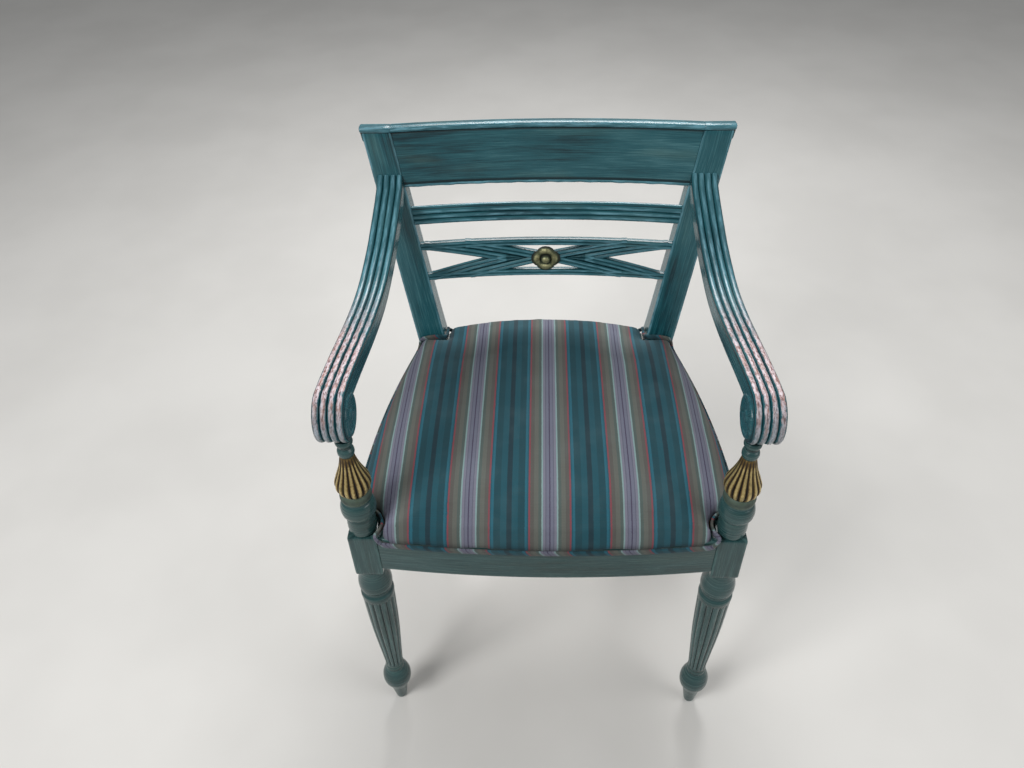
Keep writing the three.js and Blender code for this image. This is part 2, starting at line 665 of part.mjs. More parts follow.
// Rings closed at each end by a fan to one point
const fanned = (rings, startTip, endTip) => {
  const count = rings[0].length;
  const points = [...rings.flat(), startTip, endTip];
  const [a, b] = [points.length - 2, points.length - 1];
  const index = [];
  for (let j = 0; j < count; j += 1) {
    const k = (j + 1) % count;
    index.push(a, k, j);
    for (let i = 0; i + 1 < rings.length; i += 1) {
      const [p, q] = [i * count, (i + 1) * count];
      index.push(p + j, p + k, q + k, p + j, q + k, q + j);
    }
    const last = (rings.length - 1) * count;
    index.push(last + j, last + k, b);
  }
  return fromTriangles(points, index);
};
const padIn = coverThickness + 2 * clearance;
const padOut = -3 * clearance;
const shares = [0, 0.04, 0.12, 0.26, 0.6];
const crownTip = (lift) => new THREE.Vector3(0, seatCentreY, crownAt(seatCentreY) + lift);
add('seat_pad', fanned(
  [wall(padOut, () => padBottom), ...seatRings(padOut, -padIn, shares)],
  new THREE.Vector3(0, seatCentreY, padBottom),
  crownTip(-padIn),
), fabric);

// The cover: down over the stuffing and the rail faces to the hem, open underneath
add('seat_cover', fanned(
  [
    ...seatRings(clearance, -coverThickness, shares).reverse(),
    wall(clearance, (hem) => hem),
    wall(coverOut, (hem) => hem),
    ...seatRings(coverOut, 0, shares),
  ],
  crownTip(-coverThickness),
  crownTip(0),
), fabric);

// Webbing, laid crosswise over the rails, with hessian above
const strap = (x0, x1, y0, y1, layer) => {
  const z = fabricStart + layer * (webbingThickness + clearance);
  return box(x0, x1, y0, y1, z, z + webbingThickness);
};
const strapPitch = 82;
for (let i = 0; i < 4; i += 1) {
  const x = (i - 1.5) * strapPitch;
  const from = frontFace(x + webbingWidth / 2) + 6;
  add(`webbing_long_${i + 1}`, strap(x - webbingWidth / 2, x + webbingWidth / 2, from,
    backRailFront + railThickness - 6, 0), jute);
}
for (let i = 0; i < 3; i += 1) {
  const y = 96 + i * strapPitch;
  const half = sideFace(y + webbingWidth / 2) - 5;
  add(`webbing_cross_${i + 1}`, strap(-half, half, y - webbingWidth / 2, y + webbingWidth / 2, 1), jute);
}
const hessianOutline = () => {
  const ys = spread(postNotch + 8, backDepth - notchGap - 6, 8);
  const right = ys.map((y) => [sideFace(y) - 6, y]);
  const front = railEnd - 14;
  const back = backRailEnd - notchGap - 6;
  return [[-front, frontFace(front) + 6], [front, frontFace(front) + 6], [front, postNotch + 8],
    ...right, [back, backDepth - notchGap - 6], [back, backRailFront + railThickness - 6],
    [-back, backRailFront + railThickness - 6], [-back, backDepth - notchGap - 6],
    ...right.map(([x, y]) => [-x, y]).reverse(), [-front, postNotch + 8]];
};
add('hessian', planPiece(hessianOutline(), hessianStart, hessianStart + webbingThickness), jute);

// Double welt over the cover's raw edge, one loop round the seat
const weltPoints = () => {
  const off = coverOut + clearance + weltRadius;
  const low = hemHeight + weltHalfHeight;
  const post = blockTop + weltHalfHeight + 2.4;
  const high = uprightRim - weltHalfHeight;
  const gapPost = ringTwoRadius + weltRadius + 1.5 * clearance;
  const points = [0, 0.3, 0.6, 0.85].map((s) => {
    const x = s * railEnd;
    return [x, frontFace(x) - off, low];
  });
  // up beside the cover's front corner, round it, and on round the post
  const reach = postNotch - coverOut;
  const turn = Math.PI + Math.asin((coverOut - frontFace(postX - 25)) / reach);
  const [frontX, frontY] = [postX + reach * Math.cos(turn), reach * Math.sin(turn)];
  const skin = weltRadius + 2 * clearance;
  points.push([frontX - 7, frontY - skin, low], [frontX - 2.6, frontY - skin, low + 5],
    [frontX - 1, frontY - skin, post - 5], [frontX + 2.2, frontY - skin * 0.6, post]);
  for (let i = 0; i <= 6; i += 1) {
    const angle = THREE.MathUtils.lerp(turn, 0.47 * Math.PI, i / 6);
    points.push([postX + gapPost * Math.cos(angle), gapPost * Math.sin(angle), post]);
  }
  const sideX = (y) => sideFace(y) + off;
  const [cornerX, cornerY] = notchCorner(coverOut);
  const round = weltRadius + 2 * clearance;
  for (const degrees of [240, 280, 320, 360]) {
    const angle = (degrees / 180) * Math.PI;
    points.push([cornerX + round * Math.cos(angle), cornerY + round * Math.sin(angle), post]);
  }
  points.push([sideX(cornerY + 6) + 0.3, cornerY + 6, low + 14], [sideX(44), 44, low + 3]);
  for (const y of [60, 120, 190, 260, 330]) points.push([sideX(y), y, low]);
  const front = backDepth - weltGap / 2;
  const inner = uprightIn(seatLevel) - weltGap / 2;
  const back = backRailFront + railThickness + off;
  points.push([sideX(front - 12), front - 12, low + 2], [sideX(front) + 0.8, front - 1, low + 12],
    [sideX(front) - 3, front, high - 4], [(sideX(front) + inner) / 2, front, high],
    [inner + 2.5, front, high], [inner, front + 3, high], [inner, back - 8, high - 3],
    [inner + 0.2, back + 0.8, high - 12], [inner - 5, back + 0.6, low + 6], [inner - 16, back, low],
    [inner * 0.6, back, low], [inner * 0.3, back, low], [0, back, low]);
  const left = points.slice(1, -1).map(([x, y, z]) => [-x, y, z]).reverse();
  return [...points, ...left].map((p) => new THREE.Vector3(...p));
};
const weltGeometry = () => {
  const path = weltPoints();
  const curve = new THREE.CatmullRomCurve3(path, true, 'centripetal');
  const steps = 2 * path.length;
  const centre = new THREE.Vector3(0, seatCentreY, 0);
  const rings = [];
  for (let i = 0; i < steps; i += 1) {
    const point = curve.getPoint(i / steps);
    const along = curve.getTangent(i / steps);
    const flat = new THREE.Vector3(along.x, along.y, 0);
    if (flat.length() < 0.3) flat.copy(point).sub(centre).setZ(0).cross(new THREE.Vector3(0, 0, -1));
    const out = new THREE.Vector3(flat.y, -flat.x, 0).normalize();
    const up = new THREE.Vector3().crossVectors(out, along).normalize();
    const tall = THREE.MathUtils.lerp(weltHalfHeight, weltRadius, Math.abs(along.z));
    rings.push(Array.from({ length: 6 }, (_, j) => {
      const angle = ((j + 0.5) / 6) * 2 * Math.PI;
      return point.clone().addScaledVector(out, weltRadius * Math.cos(angle))
        .addScaledVector(up, tall * Math.sin(angle));
    }));
  }
  return loft(rings, null, true);
};
add('welt', weltGeometry(), fabric);

// Named meshes, with the origin under the middle of the chair
const chair = new THREE.Group();
for (const [name, solid] of solids) {
  const [color, roughness, metalness] = looks.get(name);
  const material = new THREE.MeshStandardMaterial({ color, roughness, metalness });
  const mesh = new THREE.Mesh(toGeometry(solid), material);
  mesh.name = name;
  chair.add(mesh);
}
const bounds = new THREE.Box3().setFromObject(chair);
const middleY = (bounds.min.y + bounds.max.y) / 2;
for (const mesh of chair.children) mesh.position.y = -middleY;

export default chair;
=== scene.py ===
# %% [markdown]
# # A painted elbow chair
# The chair has turned and reeded front legs, arms that end in scrolls, a bowed back with a
# lattice, and a seat covered in a striped weave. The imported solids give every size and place.
# Here each rigid piece is drawn again as a smooth numpy surface over its solid, and the seat
# cover is blown up a little with a cloth simulation, because that gives real fullness.

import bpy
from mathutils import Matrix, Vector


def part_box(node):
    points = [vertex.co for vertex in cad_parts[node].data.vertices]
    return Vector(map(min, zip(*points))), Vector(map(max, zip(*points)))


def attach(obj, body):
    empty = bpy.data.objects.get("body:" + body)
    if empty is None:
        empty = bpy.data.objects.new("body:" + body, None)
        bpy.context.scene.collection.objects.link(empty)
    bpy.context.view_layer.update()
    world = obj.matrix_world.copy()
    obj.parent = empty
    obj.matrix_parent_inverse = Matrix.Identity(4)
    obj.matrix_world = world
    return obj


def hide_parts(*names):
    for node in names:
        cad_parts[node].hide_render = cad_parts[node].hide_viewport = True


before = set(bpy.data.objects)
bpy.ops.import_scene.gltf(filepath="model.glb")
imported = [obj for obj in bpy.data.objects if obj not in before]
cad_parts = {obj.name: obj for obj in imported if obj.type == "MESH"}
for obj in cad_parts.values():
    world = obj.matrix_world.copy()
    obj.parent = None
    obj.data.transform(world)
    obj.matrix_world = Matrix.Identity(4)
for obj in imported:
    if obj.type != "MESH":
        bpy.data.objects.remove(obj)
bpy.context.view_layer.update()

import math

import bpy
import numpy as np
from mathutils import Matrix, Vector

# %% [markdown]
# ## Bench coordinates
# A chair maker measures from the front posts, so the shapes below are in millimetres with
# y = 0 on the line between the two front post axes. The solids say where that line lies.

# %% Sizes read from the solids
MM = 0.001


def span(node):
    """Lowest and highest corner of a solid in millimetres, measured from the posts."""
    low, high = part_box(node)
    return np.array(low) / MM - [0, BENCH_Y, 0], np.array(high) / MM - [0, BENCH_Y, 0]


post_low, post_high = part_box("front_leg_right")
BENCH_Y = (post_low.y + post_high.y) / 2 / MM
POST_X = (post_low.x + post_high.x) / 2 / MM
BLOCK_HALF = 19.0
CHAIR_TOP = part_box("crest_rail")[1].z / MM
CREST_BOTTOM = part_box("crest_rail")[0].z / MM
RAIL_BOTTOM, RAIL_TOP = span("front_rail")[0][2], span("front_rail")[1][2]
SEAT_LEVEL = 448.0
BACK_DEPTH = 378.0
BACK_BOW = 13.0
FRONT_FLAT, FRONT_BOW = -17.5, 12.0
RAIL_THICK = 24.0
GAP = 0.3
print("posts at x", POST_X, "bench line at y", BENCH_Y, "crest", CREST_BOTTOM, CHAIR_TOP)

# %% Lines that several pieces share


def lerp(a, b, t):
    """A straight blend from a to b."""
    return a + (b - a) * t


def way_along(points):
    """The distance walked along a chain of points, from 0 at the first."""
    return np.concatenate([[0], np.cumsum(np.linalg.norm(np.diff(points, axis=0), axis=1))])


def unit(vectors):
    """Rows scaled to length 1."""
    return vectors / np.linalg.norm(vectors, axis=1, keepdims=True)


def front_face(x):
    """The front rail's bowed face: a parabola between the two blocks."""
    share = np.clip(np.abs(x) / (POST_X - BLOCK_HALF), 0, 1)
    return FRONT_FLAT - FRONT_BOW * (1 - share**2)


def side_face(y):
    """The side rail's face: a straight line inwards to the back, plus a parabola outwards."""
    t = np.clip((y - BLOCK_HALF) / (BACK_DEPTH - BLOCK_HALF), -0.1, 1)
    return lerp(POST_X + BLOCK_HALF - 7, 197.0, t) + 56 * t * (1 - t)


def rise(z):
    """How far a height lies between the seat and the crest's top, from 0 to 1."""
    return np.clip((z - SEAT_LEVEL) / (CHAIR_TOP - SEAT_LEVEL), 0, 1)


def upright_out(z):
    """The upright's outer face: splayed above the seat and easing to plumb below it."""
    up = np.maximum(0, z - SEAT_LEVEL + 40) - 40
    ease = -20 - 20 / (1 + np.maximum(0, -up) / 40)
    return 206 + 0.135 * np.maximum(up, ease)


def upright_in(z):
    """The upright's inner face: 44 mm inside the outer one at the seat, 41 mm at the top."""
    return upright_out(z) - lerp(44, 41, rise(z))


def upright_front(z):
    """The upright's front face: raked back above the seat and swept back below it."""
    raked = BACK_DEPTH + 22 * rise(z) ** 1.25
    swept = BACK_DEPTH + 70 * (np.maximum(RAIL_BOTTOM - z, 0) / RAIL_BOTTOM) ** 1.2
    return np.where(z >= SEAT_LEVEL, raked, swept)


def upright_deep(z):
    """The upright's depth: 38 mm at the seat, 25 mm at the top and 28 mm at the foot."""
    down = np.maximum(0, RAIL_BOTTOM - z) / RAIL_BOTTOM
    return np.where(z >= RAIL_TOP, lerp(38, 25, rise(z) ** 0.6), lerp(38, 28, down))


print("uprights at the seat:", upright_in(SEAT_LEVEL), upright_out(SEAT_LEVEL))

# %% [markdown]
# ## Shells
# Every turned, swept or bowed piece is a grid of points: rows run along the piece and columns
# run round it. Each point also carries two facts for the paint: `grain`, its place along and
# round the piece, and `ridge`, which is 1 on a ridge that hands rub and 0 in a hollow. The
# paint also uses `ridge` for a painted highlight on ridges and painted shade in hollows.

# %% Grids, shells and pieces
CREASE, SOFT_CREASE = 40, 60


def shell(points, ridge=0.5, grain=None, loop=False, caps=True):
    """A closed skin over a grid of shape (rows, columns, 3) in bench millimetres. Quads join
    neighbours, and a fan to each end's middle closes the ends unless the rows form a loop."""
    rows, columns = points.shape[:2]
    verts = points.reshape(-1, 3)
    ridges = np.broadcast_to(np.asarray(ridge, float), (rows, columns)).reshape(-1)
    if grain is None:
        along = way_along(points.mean(axis=1))[:, None]
        round_it = way_along(points[rows // 2])[None, :]
        grain = np.stack(np.broadcast_arrays(along, round_it, 0.0), -1)
    grains = grain.reshape(-1, 3)
    i = np.arange(rows if loop else rows - 1)[:, None]
    j = np.arange(columns)[None, :]
    here, there, k = i * columns, (i + 1) % rows * columns, (j + 1) % columns
    quads = np.stack([here + j, here + k, there + k, there + j], -1).reshape(-1, 4)
    fans = np.zeros((0, 3), int)
    if caps and not loop:
        tips = np.array([points[0].mean(0), points[-1].mean(0)])
        first, last = len(verts), len(verts) + 1
        top = (rows - 1) * columns
        low = np.stack([np.full(columns, first), k[0], j[0]], -1)
        high = np.stack([np.full(columns, last), top + j[0], top + k[0]], -1)
        fans = np.concatenate([low, high])
        verts = np.concatenate([verts, tips])
        ridges = np.concatenate([ridges, ridges[[0, -1]]])
        grains = np.concatenate([grains, grains[[0, -1]]])
    made = {"verts": verts, "quads": quads, "fans": fans, "ridge": ridges, "grain": grains}
    return outward(made)


def outward(made):
    """Turns the faces of a shell over if the volume that they close in comes out negative."""
    v = made["verts"] - made["verts"].mean(0)
    tris = np.concatenate([made["quads"][:, :3], made["quads"][:, [0, 2, 3]], made["fans"]])
    a, b, c = v[tris[:, 0]], v[tris[:, 1]], v[tris[:, 2]]
    if np.einsum("ij,ij->", a, np.cross(b, c)) < 0:
        made["quads"] = made["quads"][:, ::-1]
        made["fans"] = made["fans"][:, ::-1]
    return made


def mirrored(made):
    """The same shell on the other side of the chair, with its faces turned over again."""
    copy = dict(made)
    copy["verts"] = made["verts"] * [-1, 1, 1]
    copy["grain"] = made["grain"] + [0, 0, 300.0]
    copy["quads"], copy["fans"] = made["quads"][:, ::-1], made["fans"][:, ::-1]
    return copy


def mark(mesh, label, values):
    """Stores one number, or one vector in metres, for every point of a mesh."""
    kind, size = ("FLOAT", "value") if values.ndim == 1 else ("FLOAT_VECTOR", "vector")
    layer = mesh.attributes.new(label, kind, "POINT")
    layer.data.foreach_set(size, values.astype(np.float32).ravel())


def piece(name, shells, finish, nodes, crease=CREASE):
    """One object from several shells, which rides on the chair and stands for its solids."""
    mesh = bpy.data.meshes.new(name)
    starts = np.cumsum([0] + [len(s["verts"]) for s in shells])
    verts = np.concatenate([s["verts"] for s in shells])
    faces = []
    for start, s in zip(starts, shells):
        faces += (s["quads"] + start).tolist() + (s["fans"] + start).tolist()
    placed = (verts + [0, BENCH_Y, 0]) * MM
    mesh.from_pydata(placed.tolist(), [], faces)
    mark(mesh, "ridge", np.concatenate([s["ridge"] for s in shells]))
    mark(mesh, "grain", np.concatenate([s["grain"] for s in shells]) * MM)
    mesh.update()
    mesh.shade_smooth()
    mesh.set_sharp_from_angle(angle=math.radians(crease))
    mesh.materials.append(finish)
    made = bpy.data.objects.new(name, mesh)
    bpy.context.scene.collection.objects.link(made)
    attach(made, "root")
    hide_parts(*nodes)
    print(f"{name}: {len(verts)} points, {len(faces)} faces")
    return made


def pair(name, node, shells, finish, crease=CREASE):
    """A piece on the right and its mirror image on the left, each for the solid on its side."""
    piece(name + "_right", shells, finish, [node + "_right"], crease)
    piece(name + "_left", [mirrored(s) for s in shells], finish, [node + "_left"], crease)


# %% Helpers for profiles and sections
NEARLY_ONE = 0.9999


def eased(points, rounds=2):
    """Corner cutting: each pass puts two points on every edge, a quarter and three quarters
    along, so that a chain of measured points becomes a smooth curve. The ends stay."""
    points = np.asarray(points, float)
    for _ in range(rounds):
        a, b = points[:-1], points[1:]
        cut = np.stack([0.75 * a + 0.25 * b, 0.25 * a + 0.75 * b], 1).reshape(-1, points.shape[1])
        points = np.concatenate([points[:1], cut, points[-1:]])
    return points


def cable(points, count, closed=False):
    """A Catmull-Rom curve: between two points the curve is a cubic whose slope at each is half
    the step between that point's neighbours. Returns count points at equal parameter steps."""
    points = np.asarray(points, float)
    if closed:
        knots = np.concatenate([points[-1:], points, points[:2]])
        at = np.arange(count) * len(points) / count
    else:
        before, after = 2 * points[:1] - points[1:2], 2 * points[-1:] - points[-2:-1]
        knots = np.concatenate([before, points, after])
        at = np.linspace(0, len(points) - 1.000001, count)
    i, t = at.astype(int), (at % 1)[:, None]
    p0, p1, p2, p3 = knots[i], knots[i + 1], knots[i + 2], knots[i + 3]
    bend = 2 * p0 - 5 * p1 + 4 * p2 - p3 + t * (3 * (p1 - p2) + p3 - p0)
    return p1 + 0.5 * t * (p2 - p0 + t * bend)


def softened_box(width, depth, radius, steps=5):
    """A rounded rectangle for every row: arcs at the four corners, and on each side two more
    points near its ends, so that edge wear stays near the edges. Returns points and ridge."""
    width, depth = np.broadcast_arrays(np.asarray(width, float), np.asarray(depth, float))
    w, d = width[:, None] / 2 - radius, depth[:, None] / 2 - radius
    xs, ys, ridge = [], [], []
    for quarter in range(4):
        angle = (quarter + np.linspace(0, 1, steps)) * math.pi / 2
        sx, sy = [(1, 1), (-1, 1), (-1, -1), (1, -1)][quarter]
        xs.append(sx * w + radius * np.cos(angle))
        ys.append(sy * d + radius * np.sin(angle))
        ridge += [1.0] * steps
        near, far = min(4.0, 0.5 * float(w.min())), min(4.0, 0.5 * float(d.min()))
        if quarter % 2 == 0:
            xs.append(sx * w - sx * near + 0 * w)
            xs.append(-sx * w + sx * near)
            ys += [sy * (d + radius)] * 2
        else:
            ys.append(sy * d - sy * far)
            ys.append(-sy * d + sy * far)
            xs += [sx * (w + radius)] * 2
        ridge += [0.5, 0.5]
    flat = [np.broadcast_to(a, (len(width), a.shape[1])) for a in xs]
    tall = [np.broadcast_to(a, (len(width), a.shape[1])) for a in ys]
    return np.concatenate(flat, 1), np.concatenate(tall, 1), np.array(ridge)


def reeds(u, count):
    """Height of half-round reeds over u from 0 to 1: each is a circle's arc, 1 at its crown
    and 0 where two reeds meet."""
    across = 2 * (np.clip(u, 0, NEARLY_ONE) * count % 1) - 1
    low = 0.06
    return (np.sqrt(1 - (1 - low) * across**2) - math.sqrt(low)) / (1 - math.sqrt(low))


print("helpers ready; a reed's height at its middle and edge:", reeds(np.array([0.125, 0.0]), 4))

# %% [markdown]
# ## Shader nodes as arithmetic
# Wear is easiest to think of as sums and products of masks, so a small class wraps one socket
# and turns +, -, * and / into Math nodes. Colours go through Mix nodes.

# %% The socket class and the material builder


def arithmetic(operation, reflected=False):
    """An operator of Wire. The reflected one has its two values the other way round."""
    def operator(wire, other):
        return wire.maths(operation, *((other, wire) if reflected else (wire, other)))
    return operator


class Wire:
    """A value inside a material. Arithmetic on it adds Math nodes."""

    def __init__(self, look, socket):
        self.look, self.socket = look, socket

    def maths(self, operation, a, b=None, clamp=False):
        values = {0: a} if b is None else {0: a, 1: b}
        settings = {"operation": operation, "use_clamp": clamp}
        return self.look.node("ShaderNodeMath", settings, values)

    __add__ = __radd__ = arithmetic("ADD")
    __mul__ = __rmul__ = arithmetic("MULTIPLY")
    __sub__, __rsub__ = arithmetic("SUBTRACT"), arithmetic("SUBTRACT", reflected=True)
    __truediv__, __mod__ = arithmetic("DIVIDE"), arithmetic("FLOORED_MODULO")

    def clamped(self):
        return self.maths("ADD", self, 0.0, clamp=True)

    def absolute(self):
        return self.maths("ABSOLUTE", self)

    def ramp(self, low, high):
        """0 below low, 1 above high, and a smooth step between."""
        ends = {"Value": self, "From Min": low, "From Max": high, "To Min": 0.0, "To Max": 1.0}
        return self.look.node(
            "ShaderNodeMapRange", {"interpolation_type": "SMOOTHSTEP", "clamp": True}, ends)


class Finish:
    """A material and the nodes added to it, from its texture coordinates to its shader."""

    def __init__(self, name, **shader):
        self.material = bpy.data.materials.new(name)
        self.material.use_nodes = True
        self.tree = self.material.node_tree
        self.shader = self.tree.nodes["Principled BSDF"]
        for key, value in shader.items():
            self.shader.inputs[key.replace("_", " ").title()].default_value = value

    def node(self, kind, settings=None, inputs=None, output=0):
        """Adds a node: its settings first, then values or links for its sockets."""
        made = self.tree.nodes.new(kind)
        for key, value in (settings or {}).items():
            if key == "stops":
                self.stops(made, value)
            else:
                setattr(made, key, value)
        for key, value in (inputs or {}).items():
            if isinstance(value, Wire):
                self.tree.links.new(value.socket, made.inputs[key])
            else:
                made.inputs[key].default_value = value
        return Wire(self, made.outputs[output])

    def stops(self, made, stops):
        """Sets a ramp's colour stops from (place, colour) pairs."""
        elements = made.color_ramp.elements
        while len(elements) < len(stops):
            elements.new(0.5)
        for element, (place, colour) in zip(elements, stops):
            element.position = place
            element.color = (*colour, 1)

    def mix(self, share, a, b, blend="MIX"):
        """A colour between a and b."""
        a = a if isinstance(a, Wire) else (*a, 1)
        b = b if isinstance(b, Wire) else (*b, 1)
        settings = {"data_type": "RGBA", "blend_type": blend}
        return self.node("ShaderNodeMix", settings, {0: share, 6: a, 7: b}, output=2)

    def vector(self, operation, a, b):
        return self.node("ShaderNodeVectorMath", {"operation": operation}, {0: a, 1: b})

    def place(self):
        return self.node("ShaderNodeTexCoord", output=3)

    def fact(self, name, output):
        return self.node("ShaderNodeAttribute", {"attribute_name": name}, output=output)

    def parts(self, vector):
        split = self.node("ShaderNodeSeparateXYZ", None, {0: vector}).socket.node
        return [Wire(self, socket) for socket in split.outputs]

    def noise(self, vector, scale, detail=3.0, rough=0.55, distort=0.0):
        values = {"Vector": vector, "Scale": scale, "Detail": detail, "Roughness": rough,
                  "Distortion": distort}
        return self.node("ShaderNodeTexNoise", None, values)

    def streaks(self, vector, along, across, detail=4.0, rough=0.7):
        """Noise drawn out along a piece: so many cells in a metre along it and across it."""
        cells = self.vector("MULTIPLY", vector, (along, across, across))
        return self.noise(cells, 1.0, detail, rough)

    def wave(self, value, pitch):
        """A sine wave of this pitch along a value, from 0 to 1."""
        turned_value = value * (2 * math.pi / pitch)
        return self.node("ShaderNodeMath", {"operation": "SINE"}, {0: turned_value}) * 0.5 + 0.5

    def bump(self, height, distance, strength=1.0):
        values = {"Height": height, "Distance": distance, "Strength": strength}
        return self.node("ShaderNodeBump", None, values)

    def set(self, socket, value):
        if isinstance(value, Wire):
            self.tree.links.new(value.socket, self.shader.inputs[socket])
        else:
            self.shader.inputs[socket].default_value = value


def ink(r, g, b):
    """A colour measured as 0-255 screen values, as the linear values that shaders use."""
    c = np.array([r, g, b]) / 255
    return tuple(np.where(c <= 0.04045, c / 12.92, ((c + 0.055) / 1.055) ** 2.4).tolist())


print("teal in linear light:", ink(40, 92, 104))

# %% [markdown]
# ## The paint
# The wood has a blue-green paint with a darker glaze brushed over it. The brush left streaks
# along each piece. Hollows and inner corners get painted shade, and edges and crowns turn
# paler, partly as rubbed wear and partly as a painted highlight. Streaks follow `grain`, which
# runs along the piece even where an arm curls round.

# %% Painted wood, rubbed wood and gilt
DEEP = ink(8, 42, 50)
MIDDLE = ink(27, 84, 93)
PALE = ink(92, 140, 146)
GREY_GREEN = ink(52, 70, 62)
# Pale colours for edges and crowns: partly rubbed wear, partly a painted highlight.
WEAR_AND_HIGHLIGHT_BLUE, WEAR_AND_HIGHLIGHT_GREEN = ink(122, 176, 192), ink(98, 136, 134)


def brushed(look, grain, deep, middle, pale):
    """Three colours laid over each other in long thin streaks and wide soft patches."""
    fine = look.streaks(grain, 16, 620, 5.0, 0.65)
    broad = look.streaks(grain, 7, 90, 3.0, 0.6)
    cloud = look.noise(look.place(), 9.0, 3.0, 0.5)
    tone = fine * 0.42 + broad * 0.33 + cloud * 0.25
    base = look.mix(tone.ramp(0.36, 0.52), deep, middle)
    return look.mix(tone.ramp(0.49, 0.64) * 0.42, base, pale), fine


def painted(name, greyness, rub=None, edge_wear_and_highlight=0.6, edge_wear_and_highlight_colour=WEAR_AND_HIGHLIGHT_BLUE):
    """Brushed paint. greyness turns it grey-green, and hollows get painted shade. The edge share
    says how far edges and crowns go towards the edge colour, partly as rubbed wear and partly as
    a painted highlight. rub is a function that gives two masks: where hands wore the paint
    through to a pinkish primer and red-brown wood, and where it's only thin and pale."""
    look = Finish(name, roughness=0.3)
    look.set("Specular IOR Level", 0.5)
    grain, ridge = look.fact("grain", 1), look.fact("ridge", 2)
    colour, fine = brushed(look, grain, DEEP, MIDDLE, PALE)
    cloud = look.streaks(grain, 5, 24, 3.0, 0.5)
    colour = look.mix(cloud.ramp(0.5, 0.72) * 0.45, colour, ink(76, 108, 104))
    grey = look.mix(fine.ramp(0.35, 0.65), ink(32, 50, 45), GREY_GREEN)
    colour = look.mix(greyness, colour, grey)
    # Painted shade: hollows and inner corners go most of the way to a near-black teal.
    hollow = 1 - ridge.ramp(0.0, 0.45)
    colour = look.mix(hollow * 0.85, colour, ink(6, 22, 26))
    # Edges and crowns go pale: partly rubbed wear, partly a painted highlight.
    edge_streaks = look.streaks(grain, 30, 200, 4.0, 0.65)
    edge = ridge.ramp(0.7, 1.0) * (0.25 + edge_streaks.ramp(0.42, 0.66) * 0.75)
    colour = look.mix(edge * edge_wear_and_highlight, colour, edge_wear_and_highlight_colour)
    rough = 0.16 + fine * 0.2
    height = fine * 0.6 + edge_streaks * 0.3
    if rub is not None:
        worn, thin = rub(look, grain, ridge)
        colour = look.mix(thin, colour, ink(120, 158, 172))
        patch = look.streaks(grain, 70, 260)
        primer = look.mix(patch.ramp(0.4, 0.66), ink(204, 190, 196), ink(158, 112, 98))
        freckle = look.streaks(grain, 140, 420, 4.0, 0.75)
        primer = look.mix(freckle.ramp(0.5, 0.58) * 0.85, primer, ink(92, 44, 38))
        colour = look.mix(worn, colour, primer)
        rough = rough + worn * 0.2
        height = height - worn * 0.6
    look.set("Base Color", colour)
    look.set("Roughness", rough)
    look.set("Normal", look.bump(height, 0.0006, 0.35))
    return look.material


def rubbed_arm(look, grain, ridge):
    """The arm's rubbed half. Grain's first number is the way along from the upright. Primer
    shows on the reeds' crowns from about 250 mm along, in ragged streaks, most of all before
    the scroll. On the scroll's front the paint is thin and pale rather than gone."""
    along = look.parts(grain)[0]
    ragged = look.streaks(grain, 26, 130, 5.0, 0.7)
    fine = look.streaks(grain, 110, 300)
    start = (along + ragged * 0.22).ramp(0.29, 0.44)
    end = 1 - (along + ragged * 0.1).ramp(0.44, 0.52) * 0.6
    crowns = (ridge * 1.2 + fine * 1.1 + ragged * 0.8 - 1.25).ramp(0.5, 0.75)
    worn = (start * end * crowns * ridge.ramp(0.4, 0.75)).clamped()
    thin = (along.ramp(0.42, 0.5) * ridge.ramp(0.55, 0.9) * fine.ramp(0.35, 0.6) * 0.6).clamped()
    return worn, thin


paint = painted("teal_paint", 0.05)
paint_grey = painted("grey_green_paint", 0.66, edge_wear_and_highlight=0.3, edge_wear_and_highlight_colour=WEAR_AND_HIGHLIGHT_GREEN)
print("paints:", paint.name, paint_grey.name)

# %% [markdown]
# ## Front legs
# Each front leg was turned on a lathe from one square length: the block at the top stays
# square for the seat rails, and the shaft below tapers and is cut with fourteen reeds. A lathe
# shape is a profile turned round an axis, so the profile gives each row its radius, and two
# extra numbers say how square the row is and how deep its reeds are cut.

# %% Front legs
LEG_REEDS, LEG_CUT = 14, 2.0
REED_FROM, REED_TO = 110, 304


def relief(path, values, reach=7.0):
    """How much a profile stands out: its radius less its average over a short way along, as
    0.5 when level, towards 1 on a bead and towards 0 in a groove."""
    gap = np.abs(path[:, None] - path[None, :])
    weight = np.clip(1 - gap / reach, 0, 1) + 1e-9
    mean = (weight * values[None, :]).sum(1) / weight.sum(1)
    return np.clip(0.5 + (values - mean) / 2.5, 0, 1)


